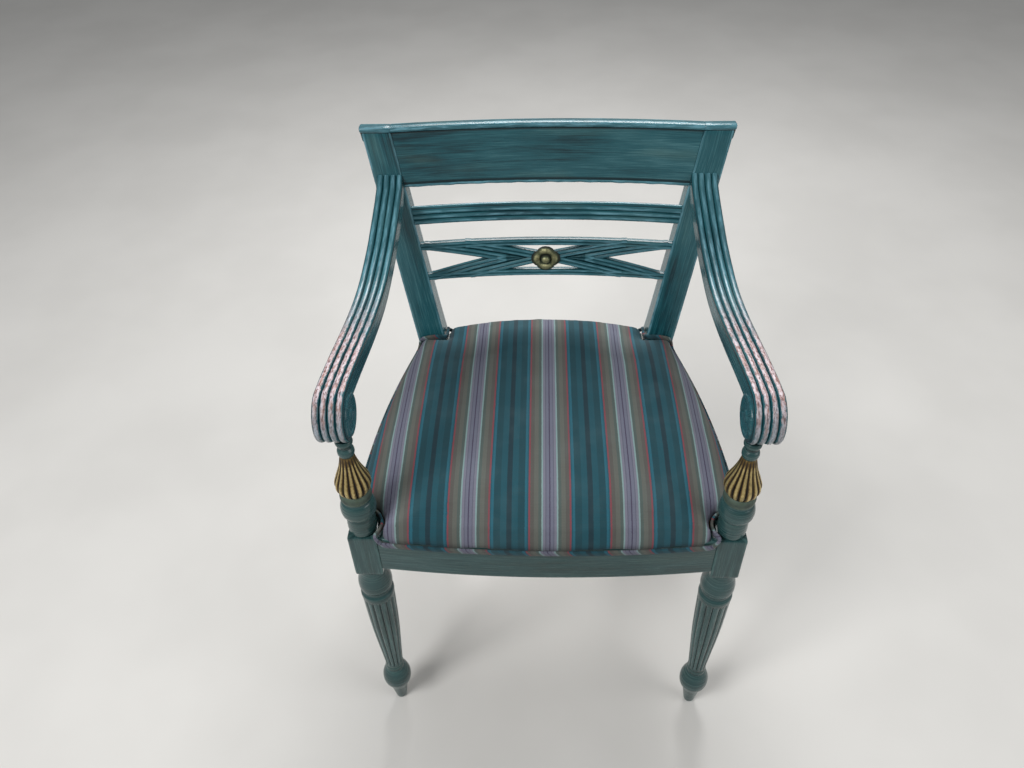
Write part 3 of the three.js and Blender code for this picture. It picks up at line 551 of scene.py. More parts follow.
def turned(profile, reed_count, columns, centre, deepest):
    """A lathe shape. Profile rows are height, radius, squareness and cut: the radius is
    blended towards a square's, and each reed's arc stands out of a groove of that depth. Brush
    streaks run up square and reeded rows, and round the others."""
    z, r, square, cut = np.asarray(profile, float).T
    angle = np.arange(columns) / columns * 2 * math.pi
    p = 18
    box = (np.abs(np.cos(angle)) ** p + np.abs(np.sin(angle)) ** p) ** (-1 / p)
    height = reeds(angle / (2 * math.pi), reed_count)
    radius = r[:, None] * lerp(1, box[None, :], square[:, None])
    radius = radius - cut[:, None] * (1 - height)[None, :]
    points = np.stack([centre[0] + radius * np.cos(angle), centre[1] + radius * np.sin(angle),
                       np.broadcast_to(z[:, None], radius.shape)], -1)
    path = way_along(np.stack([z, r], 1))
    plain = relief(path, r)[:, None] * np.ones(columns)
    corner = np.clip((box - 1.2) / 0.15, 0, 1)
    plain = lerp(plain, 0.5 + 0.5 * corner, square[:, None])
    ridge = lerp(plain, height[None, :], np.clip(cut / deepest, 0, 1)[:, None])
    reeded = (cut > 0)[:, None] | (square > 0.5)[:, None]
    up, round_it = np.broadcast_arrays(path[:, None], angle[None, :] * 20)
    grain = np.stack([np.where(reeded, up, round_it), np.where(reeded, round_it, up),
                      np.full(up.shape, float(centre[0]))], -1)
    return shell(points, ridge, grain)


def spaced(points, step):
    """A profile with no step longer than this: extra rows lie on straight lines."""
    points = np.asarray(points, float)
    at = way_along(points[:, :2])
    extra = [np.linspace(a, b, max(2, int((b - a) / step) + 2))[:-1] for a, b in zip(at, at[1:])]
    where = np.concatenate(extra + [at[-1:]])
    return np.stack([np.interp(where, at, points[:, i]) for i in range(points.shape[1])], 1)


foot = eased([(0, 4), (0, 6.6), (3, 8.4), (14, 10), (28, 12), (40, 14), (44, 15), (49, 16.4),
              (54, 19.6), (62, 21.7), (69, 22), (76, 21.6), (84, 19.5), (91, 16), (95, 13.4),
              (97, 13.2)])
fillet = eased([(97, 13.2), (98.5, 13.6), (100.5, 14.5), (104, 14.5), (106, 13.6), (109, 13.3)])
shaft = eased([(110, 13.4), (135, 15), (160, 16.7), (190, 18.8), (220, 20.6), (255, 21.8),
               (290, 22.7), (304, 23.2)])
rings = eased([(304, 23.2), (306, 23.4), (309, 23.6), (312.5, 23.4), (314.5, 22.2), (317, 20.6),
               (321, 20.4), (323, 21.4), (326, 23.1), (330, 23.6), (338, 23.4), (346, 21.8),
               (354, 19.6), (362, 18), (370, 17.2)])
leg_rows = []
for part, cut in ((foot, 0), (fillet, 0), (shaft, 1), (rings, 0)):
    run_in = np.minimum(part[:, 0] - REED_FROM, REED_TO - part[:, 0]) / 4
    depth = LEG_CUT * cut * np.clip(run_in, 0, 1)
    leg_rows += [(z, r, 0, d) for (z, r), d in zip(part, depth)]
leg_rows += [(370.0, 15.0, 1, 0), (370.0, 17.6, 1, 0), (370.6, 18.6, 1, 0), (372, 19, 1, 0),
             (376, 19, 1, 0), (444, 19, 1, 0), (447.6, 19, 1, 0), (448.7, 18.6, 1, 0),
             (449, 17.6, 1, 0), (449, 14, 1, 0)]
leg_profile = spaced(leg_rows, 6.0)
leg = turned(leg_profile, LEG_REEDS, LEG_REEDS * 12, (POST_X, 0), LEG_CUT)
pair("front_leg_paint", "front_leg", [leg], paint_grey)

# %% [markdown]
# ## Arm supports
# Above each block stands a turned support: two painted rings, a pale gilt ring, a bell with
# sixteen gilt flutes, and a thin neck under the arm. The painted and gilt parts are separate
# shells that nest inside each other, because they have different finishes.

# %% Gilt
def gilded(name, painted_highlight, middle, dark):
    """Old gilding: metal on the crowns with a painted highlight on the highest of them, painted
    shade in dark brown in the hollows, and green-grey patches where the metal has dulled."""
    look = Finish(name, roughness=0.4, metallic=0.0)
    ridge = look.fact("ridge", 2)
    patch = look.noise(look.place(), 60.0, 4.0, 0.65)
    speck = look.noise(look.place(), 420.0, 3.0, 0.7)
    # Where shine is low, the colour goes dark: painted shade in the hollows.
    shine = (ridge + patch * 0.5 - 0.25).ramp(0.45, 1.0)
    colour = look.mix(shine, dark, middle)
    # Painted highlight: the highest crowns go towards the brightest colour.
    colour = look.mix((ridge + speck * 0.4 + patch * 0.2).ramp(1.08, 1.3) * 0.6, colour, painted_highlight)
    colour = look.mix(patch.ramp(0.52, 0.7) * 0.5, colour, ink(58, 62, 36))
    look.set("Base Color", colour)
    look.set("Metallic", shine * 0.75)
    look.set("Roughness", 0.62 - shine * 0.27 + speck * 0.1)
    look.set("Normal", look.bump(patch * 0.6 + speck * 0.4, 0.0005, 0.35))
    return look.material


gilt = gilded("old_gilt", ink(232, 212, 150), ink(116, 90, 42), ink(22, 16, 8))
gilt_pale = gilded("pale_gilt", ink(178, 192, 166), ink(104, 124, 110), ink(34, 44, 40))
brass = gilded("dull_brass", ink(214, 208, 158), ink(100, 108, 80), ink(18, 24, 20))

# %% Arm supports
BELL_FLUTES, FLUTE_CUT = 16, 3.3
PLAIN = 4, 96
SUPPORT_TOP = 616.7


def round_rows(points, cut=None, rounds=2):
    """Profile rows for a lathe shape from (height, radius) points, eased, with one cut."""
    part = eased(points, rounds)
    depth = np.zeros(len(part)) if cut is None else cut(part[:, 0])
    return [(z, r, 0, d) for (z, r), d in zip(part, depth)]


low_rings = round_rows([
    (449.3, 12), (449.3, 15.8), (449.6, 16.6), (452, 18.2), (458, 18.7), (466, 18.7), (474, 18.1),
    (478, 17.4), (480, 16.6), (482, 16.4), (483, 17.6), (484.5, 20.2), (488, 22.2), (493, 22.8),
    (498, 22.7), (503, 21.7), (507.5, 20.2), (509.5, 18.6), (511.5, 17.9), (513.5, 18.2),
    (515, 18), (515.5, 12)])
high_rings = round_rows([
    (589, 7), (589.5, 8.4), (592, 9.2), (593.5, 10.2), (597, 10.6), (600.5, 10.2), (602.5, 8.8),
    (604, 7.6), (606.5, 7.4), (608, 8.2), (609.5, 10), (612, 10.8), (614.5, 10.6), (616, 9.9),
    (616.8, 9.5), (616.8, 6)])
gilt_ring = round_rows([(513.6, 14), (513.6, 18.6), (515, 19.8), (518, 20.3), (522.5, 19.8),
                        (525.5, 18.6), (527.3, 17.6), (527.5, 14)])
bell = round_rows(
    [(526.5, 14), (526.8, 17.4), (528.5, 18.6), (531, 20.2), (534.5, 22), (540, 22.9), (546, 22.3),
     (552, 20.2), (560, 17), (568, 14), (576, 11.7), (584, 9.9), (590, 8.9), (591.3, 8.6),
     (591.5, 6)],
    cut=lambda z: FLUTE_CUT * np.clip((z - 526.5) / 2, 0, 1) * np.clip((591 - z) / 52, 0, 1) ** 0.8)
centre = (POST_X, 0)
painted_rows = [turned(rows, *PLAIN, centre, 1.0) for rows in (low_rings, high_rings)]
pair("support_paint", "arm_support", painted_rows, paint_grey)
pair("support_ring", "arm_support", [turned(gilt_ring, *PLAIN, centre, 1.0)], gilt_pale)
fluted = turned(spaced(bell, 2.5), BELL_FLUTES, BELL_FLUTES * 12, centre, 1.2)
pair("support_bell", "arm_support", [fluted], gilt, SOFT_CREASE)

# %% [markdown]
# ## Back uprights
# Each back leg and upright is one sawn board, square in section. It sweeps back below the
# seat and leans outwards above it, so it is lofted from rounded squares that follow the
# shared lines. The crest's moulding runs on across its top as a separate small shell.

# %% Back uprights and seat rails


def rounded(points, radius, steps=4, near=3.0):
    """A closed polygon with its corners rounded by a quadratic curve that starts this far from
    each corner. Also returns a ridge value: 1 on outer corners, 0 in inner ones, 0.5 between."""
    points = np.asarray(points, float)
    before, after = np.roll(points, 1, 0), np.roll(points, -1, 0)
    back, ahead = before - points, after - points
    long_back = np.linalg.norm(back, axis=1, keepdims=True)
    long_ahead = np.linalg.norm(ahead, axis=1, keepdims=True)
    r_back, r_ahead = np.minimum(radius, long_back * 0.45), np.minimum(radius, long_ahead * 0.45)
    start, stop = points + back / long_back * r_back, points + ahead / long_ahead * r_ahead
    flat_a = points + back / long_back * np.minimum(r_back + near, long_back * 0.49)
    flat_b = points + ahead / long_ahead * np.minimum(r_ahead + near, long_ahead * 0.49)
    t = np.linspace(0, 1, steps)[None, :, None]
    arc = (1 - t) ** 2 * start[:, None] + 2 * t * (1 - t) * points[:, None] + t**2 * stop[:, None]
    out = np.concatenate([flat_a[:, None], arc, flat_b[:, None]], 1)
    cross = ahead[:, 0] * back[:, 1] - ahead[:, 1] * back[:, 0]
    x, y = points.T
    area = (x * np.roll(y, -1) - np.roll(x, -1) * y).sum()
    convex = np.where(cross * area > 0, 1.0, 0.0)
    ridge = np.full(out.shape[:2], 0.5)
    ridge[:, 1:-1] = convex[:, None]
    return out.reshape(-1, 2), ridge.reshape(-1)


def board(centres, widths, depths, radius=1.6):
    """A rounded box section for every row: centres are the middles, and the section lies level
    with its width along x and its depth along y."""
    xs, ys, ridge = softened_box(widths, depths, radius)
    points = np.stack([centres[:, 0:1] + xs, centres[:, 1:2] + ys,
                       np.broadcast_to(centres[:, 2:3], xs.shape)], -1)
    return shell(points, ridge[None, :])


CREST_SECTION = [
    (15, CREST_BOTTOM + 2), (6, CREST_BOTTOM), (-1.8, CREST_BOTTOM), (-2.2, CREST_BOTTOM + 3.4),
    (0, CREST_BOTTOM + 4.6), (0, CHAIR_TOP - 7.6), (-2.4, CHAIR_TOP - 6.6),
    (-3, CHAIR_TOP - 3), (-1.6, CHAIR_TOP - 0.4), (3, CHAIR_TOP),
    (12, CHAIR_TOP - 0.6), (15, CHAIR_TOP - 4)]

heights = np.concatenate([[0], np.linspace(1.5, CHAIR_TOP - 9, 110), [CHAIR_TOP - 8]])
inner, outer, deep = upright_in(heights), upright_out(heights), upright_deep(heights)
shrink = np.ones(len(heights))
shrink[[0, -1]] = 1.6
middles = np.stack([(inner + outer) / 2, upright_front(heights) + deep / 2, heights], 1)
upright = board(middles, outer - inner - shrink + 1, deep - shrink + 1)

cap_line, cap_ridge = rounded([(y, z) for y, z in CREST_SECTION if z > CHAIR_TOP - 30]
                              + [(15, CHAIR_TOP - 22), (2, CHAIR_TOP - 22)], 1.5)
across = np.array([0.0, 0.02, 0.25, 0.5, 0.75, 0.95, 0.985, 1.0])
pull = np.array([0.6, 0, 0, 0, 0, 0, 0.25, 1.0])
middle_y, middle_z = cap_line.mean(0)
cap_y = cap_line[None, :, 0] + (middle_y - cap_line[None, :, 0]) * 0.1 * pull[:, None]
cap_z = cap_line[None, :, 1] + (middle_z - cap_line[None, :, 1]) * 0.1 * pull[:, None]
cap_x = lerp(upright_in(cap_z) + 0.1, upright_out(cap_z) + 1.5, across[:, None])
cap_points = np.stack([cap_x, cap_y + upright_front(cap_z), cap_z], -1)
cap = shell(cap_points, cap_ridge[None, :])
pair("upright", "back_leg", [upright, cap], paint)


def rail(start, stop, face, inside, rows=40, along_y=False):
    """A seat rail as rows of rounded boxes along x or y, between an outer face and an inner
    one that are functions of the place along, and from the rails' bottom to their top."""
    at = np.concatenate([[start], np.linspace(start, stop, rows)[1:-1], [stop]])
    outside, within = face(at), inside(at)
    tall = np.full(rows, RAIL_TOP - RAIL_BOTTOM)
    xs, ys, ridge = softened_box(np.abs(outside - within), tall, 1.5)
    across = (outside + within)[:, None] / 2 + xs
    z = (RAIL_TOP + RAIL_BOTTOM) / 2 + ys
    way = np.broadcast_to(at[:, None], xs.shape)
    order = (across, way, z) if along_y else (way, across, z)
    return shell(np.stack(order, -1), ridge[None, :])


reach = POST_X - BLOCK_HALF - GAP
front = rail(-reach, reach, front_face, lambda x: FRONT_FLAT + RAIL_THICK + 0 * x)
piece("front_rail_paint", [front], paint_grey, ["front_rail"])
side_rail = rail(BLOCK_HALF + GAP, BACK_DEPTH - GAP, side_face,
                 lambda y: side_face(y) - RAIL_THICK, along_y=True)
pair("side_rail_paint", "side_rail", [side_rail], paint_grey)
back_reach = span("back_rail")[1][0] - 12
back = rail(-back_reach, back_reach, lambda x: 404 + 0 * x, lambda x: 380 + 0 * x)
piece("back_rail_paint", [back], paint_grey, ["back_rail"])

# %% [markdown]
# ## The back's boards
# The crest, the reeded rail and the lattice all bow backwards between the uprights. Each is a
# section carried across: the row number gives the place across, and the section's own height
# sets how wide the chair is there, so the ends lie flat against the leaning uprights.

# %% Crest, reeded rail, lattice


def bowed(section, ridge, lift=lambda t: 0 * t, rows=61, wave=None, t=None):
    """A section of (depth, height) points carried across the back: x is t times the half width
    at that height, and y is the uprights' front plus the depth plus BACK_BOW times 1 - t²."""
    t = np.linspace(-1, 1, rows)[:, None] if t is None else t[:, None]
    z = section[None, :, 1] + lift(t)
    y_in = section[None, :, 0] + (0 if wave is None else wave(t, section))
    x = t * (upright_in(z) - GAP)
    y = upright_front(z) + y_in + BACK_BOW * (1 - t**2)
    points = np.stack(np.broadcast_arrays(x, y, z), -1)
    return shell(points, np.asarray(ridge)[None, :])


crest_line, crest_ridge = rounded(CREST_SECTION, 1.4)


def hand_cut(t, section):
    """The bottom bead isn't even: it wanders by half a millimetre along the crest."""
    low = np.clip((CREST_BOTTOM + 5 - section[None, :, 1]) / 4, 0, 1)
    return low * 0.45 * (np.sin(31 * t + 1.0) + np.sin(57 * t))


crest = bowed(crest_line, crest_ridge, rows=91, wave=hand_cut)
piece("crest_paint", [crest], paint, ["crest_rail"])

reed_low = span("reeded_rail")[0][2]
u = np.linspace(0, 1, 37)
reed_face = np.stack([3.0 * (1 - reeds(u, 3)), reed_low + 24 * u], 1)
v = np.linspace(0, 1, 13)[1:]
reed_top = np.stack([3.0 + 8 * v, reed_low + 24 + 3 * reeds(v, 1)], 1)
reed_back = np.array([(11, reed_low + 18), (11, reed_low + 6), (10.4, reed_low + 0.4),
                      (8, reed_low), (4, reed_low)])
reed_line = np.concatenate([reed_face, reed_top, reed_back])
reed_ridge = np.concatenate([reeds(u, 3), reeds(v, 1),
                             np.full(5, 0.5)])
reeded = bowed(reed_line, reed_ridge)
piece("reeded_rail_paint", [reeded], paint, ["reeded_rail"])

lattice_low, lattice_high = span("lattice_rail")[0][2], span("lattice_rail")[1][2]
LATTICE_MIDDLE = (lattice_low + lattice_high) / 2
BAR = 10.6
u = np.linspace(0, 1, 25)
bar_reed = reeds(u, 2)
bar_face = np.stack([2.0 * (1 - bar_reed), LATTICE_MIDDLE + BAR * (u - 0.5)], 1)
bar_back = np.array([(5, LATTICE_MIDDLE + 5.3), (8.4, LATTICE_MIDDLE + 5.3),
                     (9, LATTICE_MIDDLE + 4.6), (9, LATTICE_MIDDLE - 4.6),
                     (8.4, LATTICE_MIDDLE - 5.3), (5, LATTICE_MIDDLE - 5.3)])
bar_line = np.concatenate([bar_face, bar_back])
bar_ridge = np.concatenate([bar_reed, np.full(6, 0.5)])
LIFT = (lattice_high - lattice_low) / 2 - BAR / 2
LATTICE_HALF = float(upright_in(LATTICE_MIDDLE)) - GAP
SLOPE, CHEVRON, DIAGONAL = 0.23, 60.0, 12.7


def climb(x):
    """Height above the lattice's middle of a bar that leaves it at x = 0 and rises at a fixed
    slope until it merges with the level bar."""
    return np.clip(SLOPE * x, 0, LIFT)


def diagonal(sign):
    """One crossing bar, from merging with one level bar to merging with the other."""
    end = LIFT / SLOPE / LATTICE_HALF * 1.04
    t = np.linspace(-end, end, 41)
    lift = lambda t: sign * np.sign(t) * climb(np.abs(t) * LATTICE_HALF)
    middle = np.array([0, LATTICE_MIDDLE])
    tall = middle + (bar_line - middle) * [1, DIAGONAL / BAR]
    return bowed(tall, bar_ridge, lift, t=t)


def outer_chevron(side, sign):
    """One leg of the V that points at the crossing: its section grows from nothing at the V's
    inner point, and its line climbs from the outer point to the level bar."""
    start = (CHEVRON - DIAGONAL / 2 / SLOPE) / LATTICE_HALF
    end = (CHEVRON + LIFT / SLOPE) / LATTICE_HALF * 1.02
    t = np.concatenate([np.linspace(start, CHEVRON / LATTICE_HALF, 14)[:-1],
                        np.linspace(CHEVRON / LATTICE_HALF, end, 24)]) * side
    out = np.abs(t) * LATTICE_HALF
    grow = np.clip((out - start * LATTICE_HALF) * SLOPE / (DIAGONAL / 2), 0.02, 1)
    lift = climb(out - CHEVRON) * sign
    z_in = (bar_line[None, :, 1] - LATTICE_MIDDLE) * DIAGONAL / BAR
    z = LATTICE_MIDDLE + z_in * grow[:, None] + lift[:, None]
    x = t[:, None] * (upright_in(z) - GAP)
    y = upright_front(z) + bar_line[None, :, 0] + BACK_BOW * (1 - t[:, None] ** 2) + 0.05
    return shell(np.stack([x, y, z], -1), bar_ridge[None, :])


lattice = [bowed(bar_line, bar_ridge, lambda t: LIFT + 0 * t),
           bowed(bar_line, bar_ridge, lambda t: -LIFT + 0 * t), diagonal(1), diagonal(-1)]
lattice += [outer_chevron(side, sign) for sign in (1, -1) for side in (-1, 1)]
piece("lattice_paint", lattice, paint, ["lattice_rail"])

# %% [markdown]
# ## Rosette
# A small cast flower of dull brass covers the crossing: four broad lobes with ribs, a hollow
# ring and a round boss; the boss and lobe crowns get a painted highlight and the ring painted
# shade. It is a dome over a disc: one parameter runs from the middle outwards and the other
# round it, and the height is a sum of simple curves.

# %% Rosette
ROSETTE_WIDE, ROSETTE_TALL, BOSS = 44.0, 41.0, 7.0


def rosette_points(rows=30, columns=96):
    """Rings from the middle out. Height is a dome for the boss (a circle's arc out to its
    radius), a hollow round it, and petals that rise and fall to the rim with fine ribs."""
    angle = np.arange(columns) / columns * 2 * math.pi
    edge = 0.5 * (0.84 + 0.16 * np.abs(np.cos(2 * angle)) ** 0.7)
    s = np.linspace(0, 1, rows)[:, None] ** 0.9
    reach = np.stack([ROSETTE_WIDE * edge * np.cos(angle), ROSETTE_TALL * edge * np.sin(angle)], -1)
    flat = s[..., None] * reach[None]
    r = np.linalg.norm(flat, axis=-1)
    boss = np.sqrt(np.clip(1 - (r / BOSS) ** 2, 0, 1)) * 5.6 + 4.0
    q = np.clip((r - 8.0) / 12.0, 0, 1)
    petal = 1.6 + 3.6 * np.sin(math.pi * q**0.8) * (0.75 + 0.25 * np.cos(4 * angle))
    petal = petal + 0.45 * np.cos(24 * angle) * np.clip(q * 3, 0, 1) * (1 - s)
    height = np.where(r < BOSS, boss, petal)
    # The ridge sets the brass's painted highlight on the boss and petals and painted shade in the
    # hollow ring.
    ridge = np.clip(np.where(r < BOSS, 0.5 + 0.5 * (boss - 4) / 5.6, (petal + 0.6) / 4.6), 0, 1)
    back = np.concatenate([flat[-1:] * 1.0, flat[-1:] * 0.5], 0)
    flat = np.concatenate([flat[1:], back])
    height = np.concatenate([height[1:], np.zeros((2, columns))])
    ridge = np.concatenate([ridge[1:], np.zeros((2, columns))])
    return flat, height, ridge


flat, height, ridge = rosette_points()
lean = math.atan(float(upright_front(LATTICE_MIDDLE + 10) - upright_front(LATTICE_MIDDLE)) / 10)
base_y = float(upright_front(LATTICE_MIDDLE)) + BACK_BOW - 0.3
points = np.stack([flat[..., 0], base_y + flat[..., 1] * math.sin(lean) - height * math.cos(lean),
                   LATTICE_MIDDLE + flat[..., 1] * math.cos(lean) + height * math.sin(lean)], -1)
piece("rosette_brass", [shell(points, ridge)], brass, ["rosette"], SOFT_CREASE)

# %% [markdown]
# ## Arms
# Each arm starts flat against its upright, swoops down, runs forward and curls under itself
# in a scroll with a button in its eye. Four reeds run along its top. The section is carried
# along the measured line, and it turns with the line so the reeds follow the scroll round.

# %% Arms
ARM_BACK_TOP = span("arm_right")[1][2]
SCROLL_RADIUS, SCROLL_Y = 34.0, 8.0
SCROLL_Z = SUPPORT_TOP + 0.5 + SCROLL_RADIUS
ARM_THICK, ARM_WIDE, ARM_REED_CUT = 30.0, 36.0, 3.2


def arm_line(count=110, turns=70):
    """The arm's top edge from the upright to the end of the scroll, as y and z. The swoop is
    a Catmull-Rom curve through measured points and the scroll is a circle that tightens."""
    swoop = [(1, 1), (0.94, 0.74), (0.88, 0.535), (0.815, 0.34), (0.745, 0.14), (0.66, -0.035),
             (0.575, -0.165), (0.49, -0.215), (0.39, -0.2), (0.3, -0.15), (0.21, -0.085),
             (0.13, -0.035), (0.06, -0.005), (0, 0)]
    back_y = float(upright_front(735.0)) - 0.4
    top = SCROLL_Z + SCROLL_RADIUS
    line = cable(swoop, count)[:-1]
    line = np.stack([SCROLL_Y + line[:, 0] * (back_y - SCROLL_Y),
                     top + line[:, 1] * (ARM_BACK_TOP - top)], 1)
    turn = np.linspace(0, math.radians(240), turns)
    radius = SCROLL_RADIUS - np.clip(turn - math.pi, 0, None) * 3
    curl = np.stack([SCROLL_Y - radius * np.sin(turn), SCROLL_Z + radius * np.cos(turn)], 1)
    return np.concatenate([line, curl])


line = arm_line()
tangent = unit(np.gradient(line, axis=0))
normal = np.stack([tangent[:, 1], -tangent[:, 0]], 1)
walked = way_along(line)
arm_x_back = float(upright_in(CREST_BOTTOM + 6)) + 0.6 + 18.5
share = np.clip((line[:, 0] - SCROLL_Y) / (BACK_DEPTH - SCROLL_Y), 0, 1)
arm_x = lerp(POST_X + 6.5, arm_x_back, share)
arm_wide = lerp(ARM_WIDE, ARM_WIDE + 1, share)
u = np.linspace(0, 1, 57)
crown = reeds(u, 4)
top_w, top_n = u - 0.5, -ARM_REED_CUT * (1 - crown)
angle = np.linspace(0, math.pi / 2, 5)
corner = 5 / ARM_WIDE
corner_w = 0.5 - corner + corner * np.cos(angle)
corner_n = -ARM_THICK + 5 - 5 * np.sin(angle)
under_w = np.concatenate([[0.5, 0.5], corner_w, -corner_w[::-1], [-0.5, -0.5]])
under_n = np.concatenate([[-8, -ARM_THICK + 8], corner_n, corner_n[::-1], [-ARM_THICK + 8, -8]])
under_ridge = np.concatenate([[0.45, 0.45], np.full(10, 0.6), [0.45, 0.45]])
section_w, section_n = np.concatenate([top_w, under_w]), np.concatenate([top_n, under_n])
section_ridge = np.concatenate([crown, under_ridge])
x = arm_x[:, None] + arm_wide[:, None] * section_w[None, :]
y = line[:, 0:1] + normal[:, 0:1] * section_n[None, :]
z = line[:, 1:2] + normal[:, 1:2] * section_n[None, :]
arm_points = np.stack([x, y, z], -1)
width_at = way_along(np.stack([section_w * ARM_WIDE, section_n], 1))
arm_grain = np.stack(np.broadcast_arrays(walked[:, None], width_at[None, :], 0.0), -1)
arm = shell(arm_points, section_ridge[None, :], arm_grain)

EYE_X, EYE_Y, EYE_Z, EYE_COLUMNS = POST_X + 6.5, SCROLL_Y + 2, SCROLL_Z - 4.5, 64
eye_profile = eased([(0.0, 20.4), (3.0, 20.4), (6.5, 19.9), (7.4, 18.5), (9.5, 18.3), (17, 18.3),
                     (19, 18.6), (20.4, 19.7), (22.5, 20.2), (25, 19.9), (26.6, 18.4),
                     (27, 15.5)])
half = eye_profile[::-1]
eye_x = np.concatenate([-eye_profile[:, 1], half[:, 1]])
eye_r = np.concatenate([eye_profile[:, 0], half[:, 0]])
turn = np.arange(EYE_COLUMNS) / EYE_COLUMNS * 2 * math.pi
eye_points = np.stack([EYE_X + np.broadcast_to(eye_x[:, None], (len(eye_x), EYE_COLUMNS)),
                       EYE_Y + eye_r[:, None] * np.cos(turn),
                       EYE_Z + eye_r[:, None] * np.sin(turn)], -1)
eye_path = way_along(np.stack([eye_x, eye_r], 1))
eye_ridge = relief(eye_path, np.abs(eye_x), 5.0)
eye = shell(eye_points[1:-1], eye_ridge[1:-1, None])
paint_rubbed = painted("rubbed_arm_paint", 0.05, rubbed_arm)
pair("arm_paint", "arm", [arm], paint_rubbed)
pair("arm_eye", "arm", [eye], paint)
print("arm is", round(float(walked[-1])), "mm along its top")

# %% [markdown]
# ## The striped cloth
# The cover is a flat woven stripe: a lilac band with a purple line, pale lines, taupe, red
# and light teal lines, and a wide deep teal band with a darker middle. The weaver's repeat is
# mirrored, so the distance from the nearest lilac centre picks the colour. The attribute
# `thread` gives each point its place in the cloth, so stripes stay straight as cloth bends.

# %% Striped fabric
REPEAT = 104.0
STRIPES = [
    (0.0, ink(62, 56, 78)), (0.8, ink(98, 100, 116)), (4.3, ink(84, 84, 100)),
    (5.6, ink(108, 108, 122)), (8.6, ink(118, 142, 142)), (10.7, ink(70, 82, 78)),
    (14.5, ink(86, 88, 82)), (20.2, ink(78, 76, 72)), (25.1, ink(118, 58, 66)),
    (27.4, ink(14, 72, 86)), (28.9, ink(24, 86, 102)), (31.9, ink(4, 58, 68)),
    (40.8, ink(8, 68, 80)), (48.6, ink(4, 42, 52)),
]
STRIPE_SHIFT = 5.0


def cloth_look(name, shade=1.0, rib=1.0):
    """The stripe, with slubs along both threads, slight fading and a plain weave's bump. The
    weave is two sine waves, one across each thread direction. shade below 1 makes a darker copy
    of the same cloth, as painted shade."""
    look = Finish(name, roughness=0.85, sheen_weight=0.06, sheen_roughness=0.5)
    across, along, _ = look.parts(look.fact("thread", 1))
    wobble = look.streaks(look.fact("thread", 1), 90, 900, 2.0, 0.6)
    shifted = across / MM + ((wobble - 0.5) * 1.6 + REPEAT / 2 - STRIPE_SHIFT)
    place = shifted % REPEAT - REPEAT / 2
    share = place.absolute() / (REPEAT / 2)
    stops = [(at / (REPEAT / 2), colour) for at, colour in STRIPES]
    stripe = look.node("ShaderNodeValToRGB", {"stops": stops}, {"Fac": share})
    stripe.socket.node.color_ramp.interpolation = "CONSTANT"
    warp = look.streaks(look.fact("thread", 1), 1500, 25, 2.0, 0.6)
    weft = look.streaks(look.fact("thread", 1), 18, 800, 2.0, 0.6)
    cloud = look.noise(look.place(), 7.0, 3.0, 0.5)
    tone = 0.62 + warp * 0.26 + weft * 0.3 + cloud * 0.2
    level = tone * shade
    grey = look.node("ShaderNodeCombineColor", None, {0: level, 1: level, 2: level})
    colour = look.mix(1.0, stripe, grey, "MULTIPLY")
    fade = (look.noise(look.place(), 14.0, 3.0, 0.6).ramp(0.45, 0.75) * 0.07).clamped()
    colour = look.mix(fade, colour, ink(120, 140, 142))
    wave_u = look.wave(across, 1.3 * MM)
    wave_v = look.wave(along, 1.7 * MM)
    look.set("Base Color", colour)
    look.set("Roughness", 0.78 + weft * 0.2)
    height = (wave_u * 0.5 + wave_v * 0.5) * 0.6 + weft * 0.4
    look.set("Normal", look.bump(height, 0.0004 * rib, 0.5))
    return look.material


striped = cloth_look("striped_cloth")
# The welt is the same cloth as the cover, painted 20% darker as painted shade under the seat's
# roll.
striped_cord_shaded = cloth_look("striped_welt_shaded", shade=0.8)
print("stripe repeat:", REPEAT, "mm")

# %% [markdown]
# ## The seat
# The upholsterer pulls the cloth over a domed stuffing and tacks it to the rails' faces, cut
# out round the two posts and the two uprights. The closed starting form follows that outline.
# Blender's cloth simulation then blows it up with its hem pinned, which rounds the shoulders
# and fills the top as stuffing does. The form under the hem is cut off afterwards.

# %% Outline of the seat
HEM, OPEN_HEM = 438.0, 450.4
FRONT_RIM = 462.0
SEAT_MIDDLE = BACK_DEPTH / 2
CROWN, CROWN_BACK = 496.0, 486.0
NOTCH_GAP = 7.5
POST_NOTCH = 22.8 + NOTCH_GAP
BACK_EDGE = 404.0


def crown_at(y):
    """The stuffing's top: level at the front half, falling 10 mm towards the back."""
    return lerp(CROWN, CROWN_BACK, np.clip((y - 90) / 318, 0, 1))


